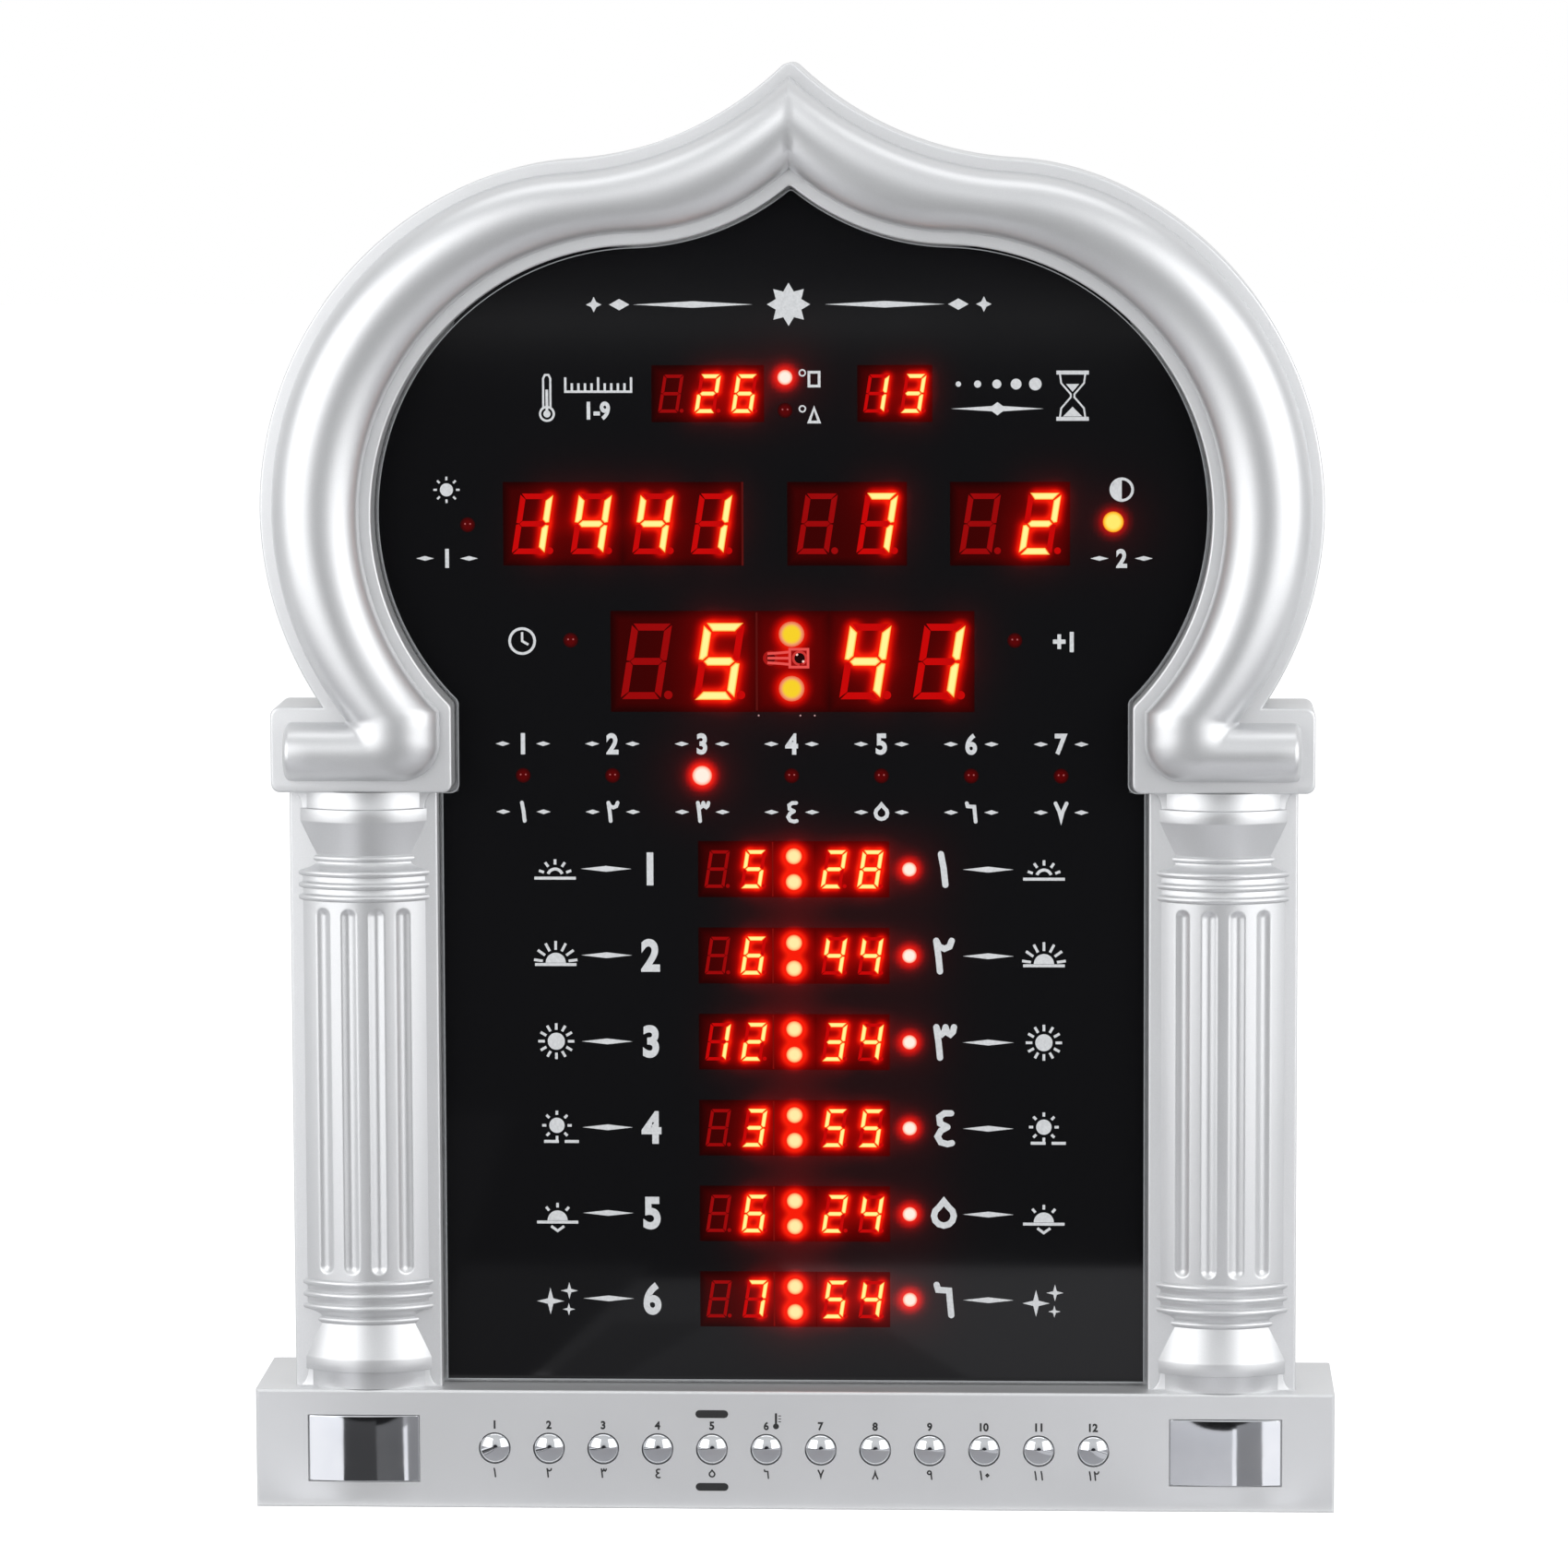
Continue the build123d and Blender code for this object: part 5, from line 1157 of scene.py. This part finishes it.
def time_sign(phase, x, z):
    """Sign for one of the six times of the day, 14 mm wide."""
    if phase in (0, 1, 4):
        trace(x, z, [(-7, -3.2), (7, -3.2)], 1.0)
    if phase == 0:
        sun(x, z - 2.6, 3.0, 5, 20, 160, 2.8, hollow=True)
    elif phase == 1:
        sun(x, z - 2.6, 3.4, 7, 8, 172, 4.0, half=True)
    elif phase == 2:
        sun(x, z, 2.9, 12, 0, 360, 3.2)
    elif phase == 3:
        sun(x, z + 0.6, 2.6, 8, 0, 360, 2.4)
        trace(x, z, [(2.6, -4.9), (7.4, -4.9)], 1.0)
        trace(x, z, [(-4.4, -4.9), (0.6, -4.9)], 1.0)
    elif phase == 4:
        sun(x, z - 2.6, 3.4, 3, 50, 130, 2.6, half=True)
        trace(x, z, [(-2.2, -4.6), (0, -6.2), (2.2, -4.6)], 0.9)
    else:
        star(x - 2.6, z - 1.0, 4, 4.6, 1.3)
        star(x + 3.8, z + 2.6, 4, 2.9, 0.85)
        star(x + 3.6, z - 3.8, 4, 2.1, 0.65)


# Left and right in each row: kind of figure, its place and height, and the places of lozenge and sign.
row_marks = ((ink.figure, -48.2, 11.2, -63.0, -80.2), (ink.eastern, 50.5, 12.4, 65.5, 84.2))
for phase, z in enumerate(row_zs):
    for draw, figure_x, height, lozenge_x, sign_x in row_marks:
        draw(str(phase + 1), figure_x, z, height)
        ink.lozenge(lozenge_x, z, 8.6, 1.0)
        time_sign(phase, sign_x, z)
above_z, below_z = 258.6, 235.6
for day, x in enumerate(day_xs, 1):
    ink.figure(str(day), x, above_z, 7.2)
    ink.eastern(str(day), x, below_z, 7.4)
    for z in (above_z, below_z):
        lozenge_pair(x, z, 6.8, 2.4, 0.8)

# Head of the panel: an eight-pointed star between lozenges.
head_x, head_z = -0.9, 405.8
star(head_x, head_z, 8, 7.2, 4.6)
for s in (-1, 1):
    ink.lozenge(head_x + s * 32.0, head_z, 20.0, 1.1)
    ink.lozenge(head_x + s * 56.5, head_z, 3.4, 1.9)
    star(head_x + s * 65.0, head_z, 4, 2.6, 1.2)

# Beside the temperature: a thermometer with its scale over figures, two rings, a square and a triangle.
bulb_x, bulb_z, scale_z = -81.8, 369.4, 376.8
ink.ring(bulb_x, bulb_z, 2.3, 0.75)
ink.disc(bulb_x, bulb_z, 1.2)
trace(bulb_x, bulb_z, [(-1.2, 1.8), (-1.2, 11.8), (-0.6, 13.0), (0.6, 13.0), (1.2, 11.8), (1.2, 1.8)], 0.7)
trace(bulb_x, bulb_z, [(0, 0), (0, 8.1)], 0.9)
for k in range(11):
    trace(-75.6 + 2.2 * k, scale_z, [(0, 0.4), (0, 4.8 if k % 5 == 0 else 2.8)], 0.8)
trace(0, scale_z, [(-76.0, 0), (-53.2, 0)], 0.8)
ink.figure("1-9", -64.6, 370.4, 6.2)
for z in (380.9, 368.9):
    ink.ring(3.6, z + 2.1, 1.0, 0.5, steps=20)
trace(7.5, 378.6, [(-1.7, 0), (1.7, 0), (1.7, 4.6), (-1.7, 4.6)], 0.9, closed=True)
trace(7.5, 366.6, [(-1.7, 0), (0, 4.6), (1.7, 0)], 0.9, closed=True)

# Right of the countdown: growing dots over a lozenge, and an hourglass.
for k in range(5):
    ink.disc(55.6 + 6.4 * k, 379.2, 0.9 + 0.3 * k, steps=20)
ink.lozenge(68.6, 371.0, 15.5, 1.0)
ink.lozenge(68.6, 371.0, 3.0, 2.2)
glass_x, glass_z = 93.6, 375.3
for z in (367.6, 383.0):
    trace(0, z, [(88.2, 0), (99.0, 0)], 1.3)
for s in (-1, 1):
    for t in (-1, 1):
        side_line = [(t * 4.2, s * 7.2), (t * 3.8, s * 4.2), (t * 0.6, s * 0.5), (t * 0.6, 0)]
        trace(glass_x, glass_z, side_line, 0.6)
for wide, base_z, tip_z in ((2.2, 379.2, 376.6), (3.2, 368.4, 371.6)):
    ink.fill([(glass_x - wide, base_z), (glass_x + wide, base_z), (glass_x, tip_z)])

# Beside the date: a sun and a half disc with their numbers; beside the time a dial and "+1".
sun_x, moon_x, sign_z, label_z = -115.7, 110.0, 344.0, 321.0
sun(sun_x, sign_z, 2.2, 8, 0, 360, 2.2, width=0.7)
ink.ring(moon_x, sign_z, 3.6, 0.9)
ink.fill([on((moon_x, sign_z), 3.4, 90 + 180 * k / 16) for k in range(17)])
for x, text in ((sun_x, "1"), (moon_x, "2")):
    ink.figure(text, x, label_z, 6.4)
    lozenge_pair(x, label_z, 7.4, 3.0, 0.8)
ink.ring(-90.7, 293.2, 4.2, 0.9)
trace(-90.7, 293.2, [(0, 3.0), (0, 0), (2.1, -1.2)], 0.8)
ink.figure("+1", 90.6, 293.0, 6.8)
dressed("panel_marks", ink.shape, silver_ink)

# ------------------------------------------------------------------ rear cover, base plate, battery lid
# Three black plastic mouldings with a fine spark texture. The cover closes the arch from behind,
# the plate closes the base, and the lid lifts off over the two cells.
rear_black = Finish("rear_plastic")
spark = rear_black.noise(3200, 3.0)
rear_black.to("Base Color", rear_black.ramp(rear_black.noise(9, 3.0), (0.3, 0.017, 0.0172, 0.018),
                                            (0.7, 0.024, 0.0243, 0.025)))
rear_black.to("Roughness", 0.46 + spark * 0.16)
rear_black.bump(spark, 0.35, 0.0002)
dress(rear_black, "back_cover", "base_back_plate", "battery_door")

# ------------------------------------------------------------------ screws of the rear cover and base
# Zinc plated pan-head screws with a cross recess, driven from behind into the frame and the base.
# The screws of the boards, the speaker and the frame are solids that take the same finish.
screw_steel = Finish("screw_steel", Metallic=1.0)
patina = screw_steel.noise(420, 3.0)
screw_steel.grain(patina, (0.3, 0.46, 0.46, 0.45), (0.7, 0.60, 0.60, 0.61), 0.26, 0.16)
screw_steel.bump(patina, 0.1, 0.0001)

driver = bpy.data.node_groups.new("pan_head_screws", "GeometryNodeTree")
driver.interface.new_socket("Places", in_out="INPUT", socket_type="NodeSocketGeometry")
screw_values = {"Head radius": 0.0028, "Head height": 0.0014, "Crown": 0.0004, "Recess length": 0.0030,
                "Recess width": 0.00062, "Recess depth": 0.0012, "Shank radius": 0.0012,
                "Shank length": 0.0080, "Finish": screw_steel.material}
screw_inputs = {}
for name in screw_values:
    kind = "NodeSocketMaterial" if name == "Finish" else "NodeSocketFloat"
    screw_inputs[name] = driver.interface.new_socket(name, in_out="INPUT", socket_type=kind)
driver.interface.new_socket("Screws", in_out="OUTPUT", socket_type="NodeSocketGeometry")
bench = Board(driver)
entry = driver.nodes.new("NodeGroupInput")
given = {socket.name: Value(bench, socket) for socket in entry.outputs}


def step(kind, settings=None, output=0, **values):
    return bench.node("GeometryNode" + kind, settings, output, **values)


def triple(x, y, z):
    return bench.node("CombineXYZ", X=x, Y=y, Z=z)


height, crown, length = given["Head height"], given["Crown"], given["Shank length"]
head = step("MeshCylinder", Vertices=40, Side_Segments=2, Fill_Segments=5, Radius=given["Head radius"],
            Depth=height)
x, y, z = [bench.node("SeparateXYZ", output=i, Vector=step("InputPosition")) for i in range(3)]
share = (x * x + y * y).math("SQRT").math("DIVIDE", given["Head radius"])
rise = (1.0 - share * share) * crown * z.math("GREATER_THAN", 0.0001)
head = step("SetPosition", Geometry=head, Offset=triple(0.0, 0.0, rise))
slots = []
for wide, long in (("Recess length", "Recess width"), ("Recess width", "Recess length")):
    bar = step("MeshCube", Size=triple(given[wide], given[long], given["Recess depth"]))
    slots.append(step("Transform", Geometry=bar, Translation=triple(0.0, 0.0, height * 0.5 + crown)))
head = step("MeshBoolean", {"operation": "DIFFERENCE"}, Mesh_1=head, Mesh_2=slots)
shank = step("MeshCylinder", Vertices=20, Radius=given["Shank radius"], Depth=length)
shank = step("Transform", Geometry=shank, Translation=triple(0.0, 0.0, length * -0.5))
whole = step("JoinGeometry", Geometry=[head, shank])
whole = step("Transform", Geometry=whole, Rotation=(-math.pi / 2, 0, 0))
spin = bench.node("FunctionNodeRandomValue", {"data_type": "FLOAT"}, 1, Seed=7)
for index, value in ((2, 0.0), (3, math.pi / 2)):
    spin.socket.node.inputs[index].default_value = value
many = step("InstanceOnPoints", Points=step("MeshToPoints", Mesh=given["Places"]), Instance=whole,
            Rotation=triple(0.0, spin, 0.0))
many = step("SetMaterial", Geometry=step("RealizeInstances", Geometry=many), Material=given["Finish"])
driver.links.new(many.socket, driver.nodes.new("NodeGroupOutput").inputs[0])


def screws(piece_name, places, depth, stands_for):
    """Row of screws whose heads' middles lie at a depth behind the base's face."""
    holder = bpy.data.meshes.new(piece_name)
    holder.from_pydata([tuple(at(x, depth, z)) for x, z in places], [], [])
    made = placed(piece_name, holder)
    modifier = made.modifiers.new("screws", "NODES")
    modifier.node_group = driver
    for name, value in screw_values.items():
        modifier[screw_inputs[name].identifier] = value
    baked = applied(made)
    made.modifiers.clear()
    made.data = baked
    smooth(baked, 30)
    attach(made, "case")
    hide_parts(stands_for)


cover_places = ((144.1, 60), (144.1, 150), (144.1, 228), (158.6, 337.1), (121.45, 416.77), (25, 450))
base_places = ((173, 9), (173, 31.5))
cover_head_depth, base_head_depth = 37.2, 53.9
for name, places, depth, node in (
        ("rear_cover_screws", cover_places, cover_head_depth, "cover_screws"),
        ("base_plate_screws", base_places, base_head_depth, "base_screws")):
    screws(name, [(s * x, z) for s in (-1, 1) for x, z in places], depth, node)
dress(screw_steel, "frame_screws", "display_board_screws", "button_board_screws", "main_board_screws",
      "speaker_screws")

# ------------------------------------------------------------------ circuit boards and what is on them
# Green glass-fibre boards with solder mask; black chips, switches and receiver; white headers;
# grey flat cables between them; a red pair of wires to the speaker; a black power socket.
def moulded(nodes, name, low, high, rough, scale, relief=0.1, **constants):
    """Dresses nodes in a plain finish whose colour and gloss wander a little."""
    made = Finish(name, **constants)
    noise = made.noise(scale, 3.0)
    made.grain(noise, (0.3, *low), (0.7, *high), rough, 0.12)
    made.bump(noise, relief, 0.0001)
    dress(made, *nodes.split())


moulded("display_board button_board main_board", "board_green", (0.010, 0.085, 0.030), (0.016, 0.12, 0.042),
        0.28, 240)
moulded("board_chips", "chip_black", (0.012, 0.012, 0.013), (0.022, 0.022, 0.024), 0.5, 900)
moulded("tact_switches", "switch_black", (0.014, 0.014, 0.015), (0.024, 0.024, 0.026), 0.4, 700)
moulded("infrared_receiver", "receiver_black", (0.012, 0.004, 0.006), (0.02, 0.008, 0.01), 0.15, 300)
moulded("temperature_sensor", "sensor_epoxy", (0.05, 0.035, 0.02), (0.09, 0.06, 0.035), 0.25, 800)
moulded("header_sockets", "header_white", (0.62, 0.6, 0.54), (0.7, 0.68, 0.62), 0.4, 500)
moulded("display_ribbon button_ribbon", "cable_grey", (0.24, 0.24, 0.25), (0.34, 0.34, 0.35), 0.45, 600)
moulded("speaker_wires", "wire_red", (0.35, 0.02, 0.015), (0.48, 0.03, 0.02), 0.4, 700)
moulded("power_jack", "jack_black", (0.012, 0.012, 0.013), (0.022, 0.022, 0.023), 0.38, 1200)
figure_blocks = ["time_hours", "time_minutes"]
figure_blocks += [f"{name}_digits" for name in ("year", "month", "day", "temperature", "countdown")]
figure_blocks += [f"row_{k}_digits" for k in range(1, 7)]
moulded(" ".join(figure_blocks), "module_red", (0.05, 0.004, 0.004), (0.075, 0.006, 0.006), 0.3, 200)
moulded("time_dots row_dots indicator_lamps", "lamp_red", (0.16, 0.008, 0.008), (0.24, 0.012, 0.012), 0.16,
        300)

# ------------------------------------------------------------------ speaker
# A 63 mm speaker behind the grille: pressed steel basket, grey paper cone, black ferrite ring.
# Four screws hold its flange on the cover.
moulded("speaker_basket", "basket_steel", (0.30, 0.30, 0.31), (0.44, 0.44, 0.45), 0.35, 300, Metallic=0.9)
moulded("speaker_cone", "cone_paper", (0.030, 0.030, 0.032), (0.055, 0.054, 0.056), 0.75, 2200, relief=0.5)
moulded("speaker_magnet", "magnet_ferrite", (0.020, 0.020, 0.022), (0.036, 0.036, 0.038), 0.55, 800)

# ------------------------------------------------------------------ backup cells
# Two small cells with a plain blue sleeve lie one above the other behind the lid, facing opposite ways.
# They are held between sprung nickel contacts.
moulded("backup_cells", "cell_sleeve", (0.02, 0.06, 0.20), (0.03, 0.085, 0.27), 0.3, 400)
moulded("battery_contacts", "contact_nickel", (0.52, 0.50, 0.46), (0.64, 0.62, 0.58), 0.22, 500, Metallic=1.0)

# ------------------------------------------------------------------ closing the file
# The boxes of the solids and of the finished clock are noted side by side,
# as plain lists of their corners in metres.
size = [[list(corner) for corner in cad_box], [list(corner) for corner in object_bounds()]]
